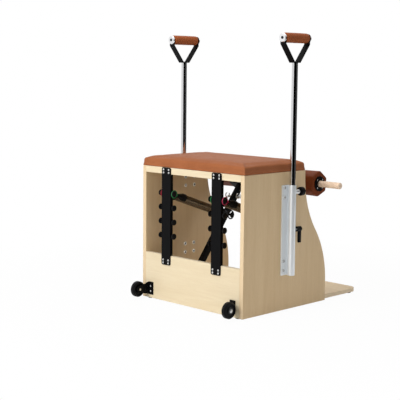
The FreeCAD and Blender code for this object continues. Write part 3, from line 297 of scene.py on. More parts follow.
def plywood(name, turn, across, tone):
    """Lacquered maple plywood: turn sets the grain's direction, across is the axis through the board, and tone
    scales its colours, which here carries painted light and shade for each panel.
    """
    material, tree, shader, place = new_finish(name)
    wood = use_group(tree, WOOD_FIBRE, Vector=stretched(tree, place, (1, 1, 1), turn))
    face = blend_colours(tree, wood["Figure"], toned(PLY_LIGHT, tone), toned(PLY_DARK, tone))
    face = blend_colours(tree, math_node(tree, "MULTIPLY", wood["Fibre"], 0.28), face, toned(PLY_FIBRE, tone))
    face = blend_colours(tree, math_node(tree, "MULTIPLY", wood["Pores"], 0.22), face, PLY_PORE)
    depth = node(tree, "ShaderNodeSeparateXYZ", {0: place}).outputs[across]
    layer = use_group(tree, PLY_LAYERS, Depth=depth, Ply=PLY_THICKNESS)["Layer"]
    edge = blend_colours(tree, layer, toned(EDGE_LIGHT, tone), toned(EDGE_DARK, tone))
    edge = blend_colours(tree, math_node(tree, "MULTIPLY", wood["Fibre"], 0.22), edge, EDGE_FIBRE)
    normal = node(tree, "ShaderNodeNewGeometry").outputs["Normal"]
    towards = node(tree, "ShaderNodeSeparateXYZ", {0: normal}).outputs[across]
    is_edge = spread(tree, math_node(tree, "ABSOLUTE", towards), 0.75, 0.65)
    wear = use_group(tree, SURFACE_WEAR, Vector=place)
    feed(tree, shader, Base_Color=blend_colours(tree, is_edge, face, edge),
         Roughness=spread(tree, wear["Smudge"], 0.0, 1.0, 0.42, 0.55))
    bump(tree, shader, math_node(tree, "ADD", wood["Fibre"], wood["Pores"]), 0.12, 0.0003)
    shader.inputs["Specular IOR Level"].default_value = 0.3
    return material


def dowel_wood():
    """Plain beech with short dark pores, its grain along X."""
    material, tree, shader, place = new_finish("beech_dowel")
    wood = use_group(tree, WOOD_FIBRE, Vector=place)
    colour = blend_colours(tree, wood["Figure"], (0.97, 0.75, 0.555), (0.88, 0.64, 0.455))
    colour = blend_colours(tree, math_node(tree, "MULTIPLY", wood["Pores"], 0.5), colour, (0.42, 0.23, 0.13))
    feed(tree, shader, Base_Color=colour, Roughness=spread(tree, wood["Fibre"], 0, 1, 0.42, 0.56))
    bump(tree, shader, wood["Pores"], 0.2, 0.0003)
    return material


def leather(name, light, dark, crease, scale, rough):
    """Soft leather: slow mottling, a fine pebble and darker creases."""
    material, tree, shader, place = new_finish(name)
    grain = use_group(tree, LEATHER_GRAIN, Vector=place, Scale=scale)
    wear = use_group(tree, SURFACE_WEAR, Vector=place)
    colour = blend_colours(tree, grain["Mottle"], light, dark)
    colour = blend_colours(tree, math_node(tree, "MULTIPLY", grain["Crease"], 0.45), colour, crease)
    feed(tree, shader, Base_Color=colour,
         Roughness=spread(tree, wear["Smudge"], 0.0, 1.0, rough - 0.05, rough + 0.07))
    bump(tree, shader, grain["Pebble"], 0.28, 0.0004)
    shader.inputs["Specular IOR Level"].default_value = 0.08
    return material


def coated(name, colour, edge_rub_and_highlight_colour, rough, metallic=0.0, grit=0.25, edge=0.5, gloss=0.05):
    """A hard finish with handling marks, a fine skin and lighter edges that are partly rub wear and partly a
    painted highlight.
    """
    material, tree, shader, place = new_finish(name)
    wear = use_group(tree, SURFACE_WEAR, Vector=place)
    # Painted highlight with rub wear: the colour is lighter along every hard edge.
    rub_and_highlight = use_group(tree, EDGE_RUB_AND_HIGHLIGHT, Vector=place, Width=0.0012)["Rub"]
    shade = blend_colours(tree, math_node(tree, "MULTIPLY", wear["Smudge"], 0.35), colour,
                          tuple(channel * 0.8 for channel in colour))
    feed(tree, shader, Base_Color=blend_colours(tree, math_node(tree, "MULTIPLY", rub_and_highlight, edge), shade, edge_rub_and_highlight_colour),
         Roughness=spread(tree, wear["Smudge"], 0.0, 1.0, rough - 0.05, rough + 0.08))
    bump(tree, shader, wear["Speck"], grit, 0.0002)
    shader.inputs["Metallic"].default_value = metallic
    shader.inputs["Specular IOR Level"].default_value = gloss
    return material


def drawn_metal(name, colour, rough, turn, streak, uneven=0.1, metallic=1.0):
    """Metal with drawing or brushing lines along X after the turn."""
    material, tree, shader, place = new_finish(name)
    along = stretched(tree, stretched(tree, place, (1, 1, 1), turn), (5, 1400, 1400))
    lines = noise(tree, along, 1.0, 3.0, 0.6)
    wear = use_group(tree, SURFACE_WEAR, Vector=place)
    shade = blend_colours(tree, spread(tree, lines, 0.3, 0.7), colour,
                          tuple(channel * (1 - uneven) for channel in colour))
    level = math_node(tree, "ADD", spread(tree, wear["Smudge"], 0.0, 1.0, rough - 0.03, rough + 0.05),
                      spread(tree, lines, 0.3, 0.7, 0.0, 0.05))
    feed(tree, shader, Base_Color=shade, Roughness=level)
    bump(tree, shader, lines, streak, 0.0001)
    shader.inputs["Metallic"].default_value = metallic
    return material


def two_zones(name, centre, axis, radius, core, skin):
    """A piece with a metal core inside a dark moulded skin, split at a radius about an axis."""
    material, tree, shader, place = new_finish(name)
    moved = node(tree, "ShaderNodeVectorMath", {0: place, 1: centre}, operation="SUBTRACT").outputs[0]
    flat = node(tree, "ShaderNodeVectorMath", {0: moved, 1: tuple(1 - abs(part) for part in axis)},
                operation="MULTIPLY").outputs[0]
    reach = node(tree, "ShaderNodeVectorMath", {0: flat}, operation="LENGTH").outputs["Value"]
    is_skin = spread(tree, reach, radius - 0.0001, radius + 0.0001)
    wear = use_group(tree, SURFACE_WEAR, Vector=place)
    skin_shade = blend_colours(tree, wear["Smudge"], skin, tuple(channel * 1.5 for channel in skin))
    feed(tree, shader, Base_Color=blend_colours(tree, is_skin, core, skin_shade),
         Metallic=spread(tree, is_skin, 0.0, 1.0, 1.0, 0.0),
         Roughness=math_node(tree, "ADD", spread(tree, is_skin, 0.0, 1.0, 0.25, 0.38),
                             spread(tree, wear["Smudge"], 0.0, 1.0, 0.0, 0.1)))
    bump(tree, shader, wear["Speck"], 0.2, 0.0002)
    shader.inputs["Specular IOR Level"].default_value = 0.08
    return material


def dress(material, *names):
    """Gives CAD nodes a finish."""
    for name in names:
        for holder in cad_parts[name].material_slots:
            holder.material = material


def both(*stems):
    """The left and right names of each stem."""
    return [f"{stem}_{side}" for stem in stems for side, _ in SIDES]


ALONG_X = (0, 0, 0)
ALONG_Z = (0, math.radians(90), 0)
BLACK = (0.0035, 0.0035, 0.004)
STEEL = (0.62, 0.62, 0.61)
DARK_STEEL = (0.05, 0.05, 0.05)

cognac = leather("cognac_leather", light=(0.395, 0.135, 0.052), dark=(0.335, 0.112, 0.042),
                 crease=(0.15, 0.04, 0.015), scale=430.0, rough=0.5)
pad_leather = leather("pad_leather", light=(0.225, 0.050, 0.012), dark=(0.18, 0.039, 0.009),
                      crease=(0.08, 0.016, 0.005), scale=430.0, rough=0.46)
grip_leather = leather("grip_leather", light=(0.42, 0.112, 0.032), dark=(0.34, 0.088, 0.025),
                       crease=(0.15, 0.035, 0.012), scale=620.0, rough=0.42)
black_coat = coated("black_powder_coat", BLACK, (0.03, 0.03, 0.03), 0.42)
black_plastic = coated("black_moulded_plastic", BLACK, (0.02, 0.02, 0.02), 0.36, edge=0.3, gloss=0.15)
foot_rubber = coated("foot_rubber", (0.015, 0.015, 0.015), (0.04, 0.04, 0.04), 0.75, edge=0.2)
red_coat = coated("red_dipped_coat", (0.42, 0.012, 0.03), (0.55, 0.06, 0.07), 0.28, grit=0.08, edge=0.3,
                  gloss=0.4)
pink_coat = coated("pink_dipped_coat", (0.48, 0.012, 0.07), (0.58, 0.06, 0.12), 0.28, grit=0.08, edge=0.3,
                   gloss=0.4)
green_coat = coated("green_dipped_coat", (0.012, 0.19, 0.05), (0.05, 0.30, 0.10), 0.28, grit=0.08, edge=0.3,
                    gloss=0.4)
zinc = drawn_metal("zinc_steel", STEEL, 0.28, ALONG_X, 0.08)
dark_socket = coated("blackened_steel", (0.02, 0.02, 0.021), (0.12, 0.12, 0.12), 0.35, metallic=0.6)
rail_metal = drawn_metal("satin_aluminium", (0.86, 0.89, 0.91), 0.38, ALONG_Z, 0.02, 0.04, metallic=0.55)
nut_metal = drawn_metal("nickel_plate", (0.97, 0.94, 0.87), 0.24, ALONG_X, 0.02, 0.03, metallic=0.5)
cap_metal = drawn_metal("turned_aluminium", (0.80, 0.80, 0.81), 0.24, ALONG_X, 0.05, 0.05)
pole_metal = drawn_metal("polished_chrome", (0.64, 0.64, 0.65), 0.05, ALONG_Z, 0.0, 0.02)
# Painted reflection: the wire's dark bronze colour stands in for the brown plywood that the chrome coils reflect.
spring_metal_painted_reflection = drawn_metal("spring_wire_painted_reflection", (0.19, 0.143, 0.092), 0.2, ALONG_X, 0.03, 0.12)

# Painted light and shade: the side panels get a darker, warmer tone for their shade; the back panel, top rail,
# seat board and base board get lighter tones for the light on them.
dress(plywood("side_plywood_shaded_tone", ALONG_Z, 0, (0.985, 0.925, 0.845)), *both("side_panel"))
dress(plywood("cross_plywood_lit_tone", ALONG_X, 1, (1.02, 1.09, 1.18)), "back_panel", "top_rail")
dress(plywood("deck_plywood_lit_tone", ALONG_X, 2, (1.13, 1.12, 1.13)), "seat_board", "base_board")
dress(dowel_wood(), "pedal_dowel")
dress(black_coat, *both("spring_bar", "pedal_arm", "handle_fork", "dowel_sleeve", "spring_pin"),
      "wheel_brackets")
dress(black_plastic, "spring_pegs", "pole_bushes",
      *both("spring_rear_caps", "spring_front_caps", "pedal_bushes"))
dress(foot_rubber, "rubber_feet")
dress(red_coat, "spring_eye_left_outer")
dress(pink_coat, "spring_eye_right_outer")
dress(green_coat, "spring_eye_left_inner", "spring_eye_right_inner")
dress(zinc, "wheel_axles", "pivot_shaft", "pivot_flanges", "shaft_collars", "plunger_housings",
      *both("hook_rod"))
dress(rail_metal, *both("handle_rail"))
dress(cap_metal, *both("grip_caps"))
dress(pole_metal, *both("handle_pole"))
for side, sign in SIDES:
    pole_x = sign * POLE_ACROSS
    dress(two_zones(f"pull_knob_{side}", (pole_x, 0, KNOB_HEIGHT), (0, 1, 0), STUD_RADIUS, STEEL, BLACK),
          f"plunger_knob_{side}")
    dress(two_zones(f"lever_{side}", (pole_x, 0, LEVER_HEIGHT), (0, 1, 0), STUD_RADIUS, STEEL, BLACK),
          f"clamp_lever_{side}")
    dress(two_zones(f"wheel_{side}_rubber", WHEEL_CENTRE, (1, 0, 0), WHEEL_CORE_RADIUS, DARK_STEEL, BLACK),
          f"wheel_{side}")


def finished(mesh, name, material, body, smooth=True):
    """Turns a bmesh into a piece of the chair, and lets it ride on a body where one is named."""
    bmesh.ops.recalc_face_normals(mesh, faces=mesh.faces)
    data = bpy.data.meshes.new(name)
    mesh.to_mesh(data)
    mesh.free()
    for face in data.polygons:
        face.use_smooth = smooth
    data.materials.append(material)
    piece = bpy.data.objects.new(name, data)
    bpy.context.collection.objects.link(piece)
    if body:
        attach(piece, body)
    return piece


def final_mesh(piece):
    """The piece's mesh with its modifiers applied."""
    shown = piece.evaluated_get(bpy.context.evaluated_depsgraph_get())
    return bpy.data.meshes.new_from_object(shown)


def remeshed(piece, voxel):
    """Even quads all over a closed piece."""
    change = piece.modifiers.new("even", "REMESH")
    change.mode = "VOXEL"
    change.voxel_size = voxel
    data = final_mesh(piece)
    piece.modifiers.clear()
    piece.data = data
    return piece


def inflate(piece, held, pressure, cap, frames=20):
    """Blows the cover up over its stuffing; held says which points stay, and no point moves further than cap."""
    rest = [point.co.copy() for point in piece.data.vertices]
    group = piece.vertex_groups.new(name="held")
    group.add([number for number, place in enumerate(rest) if held(place)], 1.0, "REPLACE")
    cloth = piece.modifiers.new("cover", "CLOTH")
    cloth.settings.quality = 4
    cloth.settings.mass = 0.3
    cloth.settings.tension_stiffness = 12
    cloth.settings.compression_stiffness = 12
    cloth.settings.shear_stiffness = 6
    cloth.settings.bending_stiffness = 2.0
    cloth.settings.vertex_group_mass = "held"
    cloth.settings.use_pressure = True
    cloth.settings.uniform_pressure_force = pressure
    cloth.settings.effector_weights.gravity = 0
    cloth.collision_settings.use_collision = False
    cloth.point_cache.frame_start = 1
    cloth.point_cache.frame_end = frames
    for step in range(1, frames + 1):
        bpy.context.scene.frame_set(step)
    data = final_mesh(piece)
    bpy.context.scene.frame_set(1)
    for point, start in zip(data.vertices, rest):
        move = point.co - start
        if move.length > cap:
            point.co = start + move.normalized() * cap
    piece.modifiers.clear()
    piece.vertex_groups.clear()
    piece.data = data
    return piece


def finer(piece):
    """One smooth subdivision."""
    change = piece.modifiers.new("finer", "SUBSURF")
    change.levels = 1
    change.render_levels = 1
    for face in piece.data.polygons:
        face.use_smooth = True
    return piece


def seat_cushion():
    """The padded seat: a low crown, sides drawn in between its corners, flat where it rests on the boards."""
    low, high = (Vector(corner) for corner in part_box("seat_cushion"))
    middle, half = (low + high) / 2, (high - low) / 2
    side_inset, edge_height, crown = 0.5 * MM, 34 * MM, 9 * MM
    corner_round, rim_round, side_draw, crown_power = 9 * MM, 7 * MM, 2 * MM, 6
    mesh = bmesh.new()
    bmesh.ops.create_cube(mesh, size=2.0)
    bmesh.ops.scale(mesh, vec=(half.x - side_inset, half.y - side_inset, edge_height / 2), verts=mesh.verts)
    uprights = [edge for edge in mesh.edges if abs(edge.verts[0].co.z - edge.verts[1].co.z) > edge_height / 2]
    bmesh.ops.bevel(mesh, geom=uprights, offset=corner_round, affect="EDGES", segments=4, profile=0.5, material=-1)
    rim = [edge for edge in mesh.edges
           if min(end.co.z for end in edge.verts) > edge_height / 2 - 1 * MM and len(edge.link_faces) == 2
           and any(abs(face.normal.z) < 0.5 for face in edge.link_faces)]
    bmesh.ops.bevel(mesh, geom=rim, offset=rim_round, affect="EDGES", segments=4, profile=0.5, material=-1)
    bmesh.ops.translate(mesh, vec=(middle.x, middle.y, low.z + edge_height / 2), verts=mesh.verts)
    piece = finished(mesh, "leather_seat", cognac, None)
    remeshed(piece, voxel=6 * MM)
    for point in piece.data.vertices:
        across = (point.co.x - middle.x) / half.x
        back = (point.co.y - middle.y) / half.y
        up = (point.co.z - low.z) / edge_height
        rise = max(0.0, 1 - across ** crown_power) ** 0.5 * max(0.0, 1 - back ** crown_power) ** 0.5
        point.co.x -= math.copysign(side_draw, across) * abs(across) * max(0.0, 1 - back ** 2)
        point.co.y -= math.copysign(side_draw, back) * abs(back) * max(0.0, 1 - across ** 2)
        point.co.z += crown * up * rise
    inflate(piece, lambda place: place.z < low.z + 3 * MM, pressure=4.0, cap=5 * MM)
    finer(piece)
    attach(piece, "case")
    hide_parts("seat_cushion")


def divide(mesh, chosen, cuts):
    """Cuts the chosen edges, and the faces between them, evenly."""
    bmesh.ops.subdivide_edges(mesh, edges=[edge for edge in mesh.edges if chosen(edge)], cuts=cuts,
                              use_grid_fill=True)


def pedal_pad(side):
    """A six-sided padded roll: leather over foam, with flat ends and a bore for the dowel's sleeve."""
    low, high = (Vector(corner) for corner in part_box(f"pedal_pad_{side}"))
    middle = (low + high) / 2
    length = high.x - low.x - 1 * MM
    mesh = bmesh.new()
    bmesh.ops.create_circle(mesh, cap_ends=True, segments=6, radius=PAD_TIP)
    bmesh.ops.bevel(mesh, geom=mesh.verts[:], offset=PAD_CORNER, affect="VERTICES", segments=2, profile=0.5,
                    material=-1)
    flat_length = PAD_TIP / 2
    divide(mesh, lambda edge: edge.calc_length() > flat_length, 6)
    inset = bmesh.ops.inset_region(mesh, faces=mesh.faces[:], thickness=20 * MM, use_even_offset=True,
                                   use_boundary=True)
    inner = [face for face in mesh.faces if face not in set(inset["faces"])]
    rim = {end for face in inner for end in face.verts}
    bmesh.ops.delete(mesh, geom=inner, context="FACES_ONLY")
    for end in rim:
        end.co = end.co.normalized() * PAD_BORE
    spokes = {edge for edge in mesh.edges if (edge.verts[0] in rim) != (edge.verts[1] in rim)}
    divide(mesh, lambda edge: edge in spokes, 4)
    grown = bmesh.ops.extrude_face_region(mesh, geom=mesh.faces[:])
    bmesh.ops.translate(mesh, vec=(0, 0, length),
                        verts=[item for item in grown["geom"] if isinstance(item, bmesh.types.BMVert)])
    divide(mesh, lambda edge: abs(edge.verts[0].co.z - edge.verts[1].co.z) > length / 2, 46)
    stand = Matrix(((0, 0, 1, low.x + 0.5 * MM), (1, 0, 0, 0), (0, 1, 0, 0), (0, 0, 0, 1)))
    turn = Matrix.Translation((0, middle.y, middle.z)) @ Matrix.Rotation(PAD_TURN, 4, "X")
    bmesh.ops.transform(mesh, matrix=turn @ stand, verts=mesh.verts)
    piece = finished(mesh, f"leather_pad_{side}", pad_leather, None)

    def is_held(place):
        from_axis = math.hypot(place.y - middle.y, place.z - middle.z)
        at_end = not low.x + 2 * MM < place.x < high.x - 2 * MM
        return from_axis < PAD_BORE + 1 * MM or from_axis < FLANGE_RADIUS and at_end

    inflate(piece, is_held, pressure=3.0, cap=1.5 * MM)
    finer(piece)
    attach(piece, f"pedal_{side}")
    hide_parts(f"pedal_pad_{side}")


def handle_grip(side):
    """A padded grip between the fork's ends, a little fuller at its middle."""
    low, high = (Vector(corner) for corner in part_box(f"handle_grip_{side}"))
    middle, half = (low + high) / 2, (high - low) / 2
    mesh = bmesh.new()
    rings, facets = 24, 36
    radius, bore, taper, end_step = half.x - 0.8 * MM, 4.4 * MM, 0.5 * MM, 1.0 * MM
    ends = [mesh.verts.new((bore, -half.y, 0))]
    for number in range(rings + 1):
        share = number / rings * 2 - 1
        swell = radius - taper * share ** 2 - (end_step if abs(share) == 1 else 0)
        ends.append(mesh.verts.new((swell, share * half.y, 0)))
    ends.append(mesh.verts.new((bore, half.y, 0)))
    edges = [mesh.edges.new(pair) for pair in zip(ends, ends[1:])]
    bmesh.ops.spin(mesh, geom=ends + edges, cent=(0, 0, 0), axis=(0, 1, 0), dvec=(0, 0, 0), angle=math.tau,
                   steps=facets, use_merge=True, use_duplicate=False)
    bmesh.ops.translate(mesh, vec=middle, verts=mesh.verts)
    piece = finished(mesh, f"leather_grip_{side}", grip_leather, None)
    inflate(piece, lambda place: abs(place.y - middle.y) > half.y - 3 * MM, pressure=3.0, cap=1.0 * MM,
            frames=12)
    finer(piece)
    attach(piece, f"handle_{side}")
    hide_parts(f"handle_grip_{side}")


def spring_frame(x):
    """The matrix that stands a coil's own Z axis along a spring."""
    across = Vector((1, 0, 0))
    up = SPRING_WAY.cross(across)
    turn = Matrix((across, up, SPRING_WAY)).transposed().to_4x4()
    return Matrix.Translation((x, PEG.y, PEG.z)) @ turn


def close_coils(side, sign):
    """Two tightly wound springs, as fixed coils."""
    length = SPRING_LENGTH - 2 * COIL_START
    turns = round(length / COIL_PITCH)
    steps = turns * STEPS_PER_TURN
    whole = bmesh.new()
    for spot in SPRING_SPOTS:
        mesh = bmesh.new()
        ring = bmesh.ops.create_circle(mesh, cap_ends=False, segments=WIRE_SIDES, radius=COIL_WIRE)
        stand = Matrix.Translation((COIL_RADIUS, 0, COIL_START)) @ Matrix.Rotation(math.radians(90), 4, "X")
        bmesh.ops.transform(mesh, matrix=stand, verts=ring["verts"])
        bmesh.ops.spin(mesh, geom=mesh.verts[:] + mesh.edges[:], cent=(0, 0, 0), axis=(0, 0, 1),
                       dvec=(0, 0, length / steps), angle=turns * math.tau, steps=steps, use_merge=False,
                       use_duplicate=False)
        bmesh.ops.holes_fill(mesh, edges=[edge for edge in mesh.edges if edge.is_boundary], sides=WIRE_SIDES)
        bmesh.ops.transform(mesh, matrix=spring_frame(sign * spot), verts=mesh.verts)
        spare = bpy.data.meshes.new("spare")
        mesh.to_mesh(spare)
        mesh.free()
        whole.from_mesh(spare)
        bpy.data.meshes.remove(spare)
    piece = finished(whole, f"coils_{side}", spring_metal_painted_reflection, None)
    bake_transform(piece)
    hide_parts(f"springs_{side}")


def screw(radius, rise, socket, shank, depth):
    """The mesh of one screw on its own Z axis: a shank below zero, a low round head and a six-sided socket."""
    mesh = bmesh.new()
    well = 0.3 * rise
    rings = []
    for reach, up, sides in ((shank, -depth, 18), (shank, 0, 18), (radius, 0, 18), (radius, 0.45 * rise, 18),
                             (0.85 * radius, 0.88 * rise, 18), (0.7 * radius, rise, 18), (socket, rise, 6),
                             (socket, well, 6)):
        made = bmesh.ops.create_circle(mesh, cap_ends=up in (-depth, well), segments=sides, radius=reach,
                                       matrix=Matrix.Translation((0, 0, up)))
        rings.append({edge for end in made["verts"] for edge in end.link_edges})
    for lower, upper in zip(rings, rings[1:]):
        bmesh.ops.bridge_loops(mesh, edges=list(lower | upper))
    data = bpy.data.meshes.new("screw")
    mesh.to_mesh(data)
    mesh.free()
    return data


def screw_finish():
    """Bright outside the panels, and painted black where a screw ends inside its nut, as painted shade in the
    nut's bore.
    """
    material, tree, shader, place = new_finish("rail_screw_steel_shaded_ends")
    across = node(tree, "ShaderNodeSeparateXYZ", {0: place}).outputs[0]
    outside = spread(tree, math_node(tree, "ABSOLUTE", across), 308.5 * MM, 309.5 * MM)
    wear = use_group(tree, SURFACE_WEAR, Vector=place)
    shade = blend_colours(tree, wear["Smudge"], STEEL, toned(STEEL, (0.8, 0.8, 0.8)))
    # Painted shade: the screw ends inside the nuts are black for the dark of the nuts' bores.
    feed(tree, shader, Base_Color=blend_colours(tree, outside, BLACK, shade),
         Roughness=spread(tree, wear["Smudge"], 0.0, 1.0, 0.3, 0.4))
    bump(tree, shader, wear["Speck"], 0.1, 0.0002)
    shader.inputs["Metallic"].default_value = 0.6
    return material


def facing(point, way):
    """A matrix at a point whose Z axis runs along a way."""
    return Matrix.Translation(point) @ Vector(way).to_track_quat("Z", "Y").to_matrix().to_4x4()


def screw_set(name, shape, places, material, body, *replaced):
    """One piece made of the same screw at many places."""
    whole = bmesh.new()
    for place in places:
        copied = shape.copy()
        copied.transform(place)
        whole.from_mesh(copied)
        bpy.data.meshes.remove(copied)
    bpy.data.meshes.remove(shape)
    piece = finished(whole, name, material, body, smooth=False)
    if replaced:
        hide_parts(*replaced)


def rail_screw_rows():
    """Side, depth and height of every rail screw."""
    rows = []
    for side, sign in SIDES:
        low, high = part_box(f"handle_rail_{side}")
        for up in (low[2] + 20 * MM, low[2] + 60 * MM, high[2] - 51 * MM, high[2] - 11 * MM):
            rows += [(sign, RAIL_DEPTH + forward, up) for forward in (-RAIL_COLUMN, RAIL_COLUMN)]
    return rows


def rail_screws():
    """Socket screws along both flanges of the rails."""
    spots = [facing((sign * RAIL_HEAD_ACROSS, depth, up), (sign, 0, 0)) for sign, depth, up in rail_screw_rows()]
    shape = screw(radius=6.5 * MM, rise=4 * MM, socket=2.6 * MM, shank=4 * MM, depth=27 * MM)
    screw_set("rail_screws", shape, spots, screw_finish(), "case", "rail_bolts")


def nut_flanges():
    """Bright domed flanges of the sleeve nuts inside the side panels."""
    mesh = bmesh.new()
    ends = [mesh.verts.new((reach * MM, 0, up * MM)) for reach, up in NUT_PROFILE]
    edges = [mesh.edges.new(pair) for pair in zip(ends, ends[1:] + ends[:1])]
    bmesh.ops.spin(mesh, geom=ends + edges, cent=(0, 0, 0), axis=(0, 0, 1), dvec=(0, 0, 0), angle=math.tau,
                   steps=28, use_merge=True, use_duplicate=False)
    shape = bpy.data.meshes.new("nut")
    mesh.to_mesh(shape)
    mesh.free()
    spots = [facing((sign * NUT_ACROSS, depth, up), (-sign, 0, 0)) for sign, depth, up in rail_screw_rows()]
    screw_set("nut_flanges", shape, spots, nut_metal, "case", "rail_nuts")


def bar_screw_heads():
    """Bright screws, four at each end of the spring bars."""
    spots = []
    for side, _ in SIDES:
        low, high = (Vector(corner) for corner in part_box(f"spring_bar_{side}"))
        near, far = BAR_SCREW_ROWS
        for up in (low.z + near, low.z + far, high.z - far, high.z - near):
            for across in (-BAR_SCREW_COLUMN, BAR_SCREW_COLUMN):
                spots.append(facing(((low.x + high.x) / 2 + across, BACK_PLATE_FACE, up), (0, 1, 0)))
    shape = screw(radius=4.5 * MM, rise=2.4 * MM, socket=1.7 * MM, shank=2.2 * MM, depth=16 * MM)
    screw_set("bar_screw_heads", shape, spots, zinc, "case", "bar_screws")


def small_screws():
    """Screws of the pads' flanges, the wheel brackets and the grips' end caps."""
    for side, sign in SIDES:
        low, high = (Vector(corner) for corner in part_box(f"dowel_sleeve_{side}"))
        middle = (low + high) / 2
        face = high.x if sign > 0 else low.x
        spots = [facing((face, middle.y + FLANGE_SCREW_CIRCLE * math.cos(turn),
                         middle.z + FLANGE_SCREW_CIRCLE * math.sin(turn)), (sign, 0, 0))
                 for turn in (math.radians(45 + 90 * step) for step in range(4))]
        shape = screw(radius=3.4 * MM, rise=1.8 * MM, socket=1.3 * MM, shank=1.5 * MM, depth=3 * MM)
        screw_set(f"flange_screws_{side}", shape, spots, zinc, f"pedal_{side}")
        low, high = (Vector(corner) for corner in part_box(f"grip_caps_{side}"))
        middle = (low + high) / 2
        spots = [facing((middle.x, face, middle.z), (0, way, 0)) for face, way in ((low.y, -1), (high.y, 1))]
        shape = screw(radius=6 * MM, rise=2.5 * MM, socket=2.4 * MM, shank=3 * MM, depth=2 * MM)
        screw_set(f"grip_bolts_{side}", shape, spots, dark_socket, f"handle_{side}")
    spots = [facing((sign * BRACKET_SCREW_ACROSS, BACK_PLATE_FACE, up), (0, 1, 0))
             for _, sign in SIDES for up in BRACKET_SCREW_HEIGHTS]
    shape = screw(radius=4.5 * MM, rise=2.4 * MM, socket=1.7 * MM, shank=2 * MM, depth=3 * MM)
    screw_set("bracket_screws", shape, spots, zinc, "case")


def seen_white(tree, path):
    """1 for rays that look at the white surround, straight, in a reflection or through glass."""
    first = math_node(tree, "MAXIMUM", path.outputs["Is Camera Ray"], path.outputs["Is Glossy Ray"])
    return math_node(tree, "MAXIMUM", first, path.outputs["Is Transmission Ray"])


def stage():
    """A pale floor that keeps the shadow, and a white surround."""
    mesh = bmesh.new()
    bmesh.ops.create_grid(mesh, x_segments=1, y_segments=1, size=FLOOR_HALF)
    data = bpy.data.meshes.new("studio_floor")
    mesh.to_mesh(data)
    mesh.free()
    floor = bpy.data.objects.new("studio_floor", data)
    bpy.context.collection.objects.link(floor)
    material = bpy.data.materials.new("studio_floor")
    material.use_nodes = True
    tree = material.node_tree
    matt = tree.nodes["Principled BSDF"]
    matt.inputs["Base Color"].default_value = FLOOR_GREY
    matt.inputs["Roughness"].default_value = 0.9
    glow = node(tree, "ShaderNodeEmission", {"Color": WHITE, "Strength": 1.0})
    path = tree.nodes.new("ShaderNodeLightPath")
    place = tree.nodes.new("ShaderNodeTexCoord").outputs["Object"]
    away = node(tree, "ShaderNodeVectorMath", {0: place}, operation="LENGTH").outputs["Value"]
    white_share = spread(tree, away, SHADOW_NEAR, SHADOW_FAR, NEAR_WHITE, 1.0)
    seen = math_node(tree, "MULTIPLY", seen_white(tree, path), white_share)
    mix = node(tree, "ShaderNodeMixShader", {0: seen, 1: matt.outputs[0], 2: glow.outputs[0]})
    tree.links.new(mix.outputs[0], tree.nodes["Material Output"].inputs["Surface"])
    data.materials.append(material)
    world = bpy.data.worlds.new("studio")
    world.use_nodes = True
    bpy.context.scene.world = world
    tree = world.node_tree
    background = tree.nodes["Background"]
    background.inputs["Color"].default_value = WHITE
    path = tree.nodes.new("ShaderNodeLightPath")
    level = spread(tree, seen_white(tree, path), 0.0, 1.0, SURROUND_LIGHT, 1.0)
    tree.links.new(level, background.inputs["Strength"])


def lamp(name, place, target, size, power):
    """A round softbox that looks at a target."""
    data = bpy.data.lights.new(name, "AREA")
    data.shape = "DISK"
    data.size = size
    data.energy = power
    light = bpy.data.objects.new(name, data)
    light.location = place
    light.rotation_euler = (Vector(target) - Vector(place)).to_track_quat("-Z", "Y").to_euler()
    bpy.context.collection.objects.link(light)


def flag(name, place, target, width, height, level):
    """A studio card of one even level that only reflections see."""
    mesh = bmesh.new()
    bmesh.ops.create_grid(mesh, x_segments=1, y_segments=1, size=0.5)
    bmesh.ops.scale(mesh, vec=(width, height, 1), verts=mesh.verts)
    turn = (Vector(target) - Vector(place)).to_track_quat("Z", "Y").to_matrix().to_4x4()
    bmesh.ops.transform(mesh, matrix=Matrix.Translation(place) @ turn, verts=mesh.verts)
    data = bpy.data.meshes.new(name)
    mesh.to_mesh(data)
    mesh.free()
    card = bpy.data.objects.new(name, data)
    bpy.context.collection.objects.link(card)
    material = bpy.data.materials.new(name)
    material.use_nodes = True
    tree = material.node_tree
    glow = node(tree, "ShaderNodeEmission", {"Color": (level, level, level, 1), "Strength": 1.0})
    tree.links.new(glow.outputs[0], tree.nodes["Material Output"].inputs["Surface"])
    data.materials.append(material)
    card.visible_camera = False
    card.visible_diffuse = False
    card.visible_shadow = False
    card.visible_transmission = False


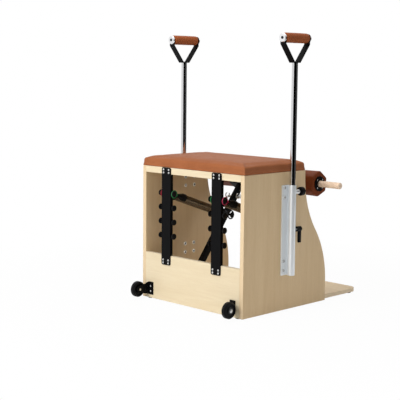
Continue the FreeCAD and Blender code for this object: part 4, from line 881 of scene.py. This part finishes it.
def lights():
    """Three softboxes, and cards round the right-hand pole for the stripes in polished metal."""
    lamp("key_softbox", (0.0, 3.95, 2.3), (0, 0.2, 0.45), size=2.2, power=122)
    lamp("top_softbox", (0.2, 0.4, 3.4), (0, 0, 0.4), size=2.4, power=36)
    lamp("front_fill", (-2.4, -2.6, 1.8), (0, -0.1, 0.4), size=2.6, power=21)
    # Name, distance, first and last angle in degrees, lowest and highest edge, level
    cards = (
        ("dark_card", 2.4, 95, 185, 0.05, 2.2, 0.0), ("grey_card", 2.4, 185, 240, 0.05, 2.2, 0.06),
        ("far_grey_card", 2.4, 240, 295, 0.05, 2.2, 0.09), ("low_card", 1.2, 115, 165, 0.01, 0.36, 0.06),
        ("low_side_card", 1.2, 165, 214, 0.01, 0.36, 0.06), ("low_light_card", 1.2, 214, 248, 0.01, 0.36, 1.5),
        ("low_far_card", 1.2, 248, 290, 0.01, 0.36, 0.1), ("low_white_card", 1.2, 62, 112, 0.01, 0.36, 1.8))
    for name, away, start, end, low, high, level in cards:
        turn, spread_half = math.radians((start + end) / 2), math.radians((end - start) / 2)
        middle = (low + high) / 2
        place = (CARD_CENTRE[0] + away * math.cos(turn), CARD_CENTRE[1] + away * math.sin(turn), middle)
        flag(name, place, (*CARD_CENTRE, middle), 2 * away * math.tan(spread_half), high - low, level)


def photo_camera():
    """The camera at the photo's angle."""
    heading = -math.pi / 4 + CAMERA_YAW
    ahead = Vector((math.cos(heading) * math.cos(CAMERA_PITCH), math.sin(heading) * math.cos(CAMERA_PITCH),
                    math.sin(CAMERA_PITCH)))
    level = ahead.cross(Vector((0, 0, 1))).normalized()
    upright = level.cross(ahead)
    right = level * math.cos(CAMERA_ROLL) + upright * math.sin(CAMERA_ROLL)
    up = upright * math.cos(CAMERA_ROLL) - level * math.sin(CAMERA_ROLL)
    data = bpy.data.cameras.new("photo_camera")
    data.sensor_width = SENSOR_WIDTH
    data.sensor_fit = "HORIZONTAL"
    data.lens = FOCAL_PIXELS / IMAGE_WIDTH * SENSOR_WIDTH
    data.shift_y = (PRINCIPAL_HEIGHT - IMAGE_WIDTH / 2) / IMAGE_WIDTH
    camera = bpy.data.objects.new("photo_camera", data)
    camera.matrix_world = Matrix.Translation(CAMERA_PLACE) @ Matrix((right, up, -ahead)).transposed().to_4x4()
    bpy.context.collection.objects.link(camera)
    bpy.context.scene.camera = camera


seat_cushion()
for side, sign in SIDES:
    pedal_pad(side)
    handle_grip(side)
    close_coils(side, sign)
rail_screws()
nut_flanges()
bar_screw_heads()
small_screws()
stage()
lights()
photo_camera()
bpy.context.scene.view_settings.view_transform = "Standard"
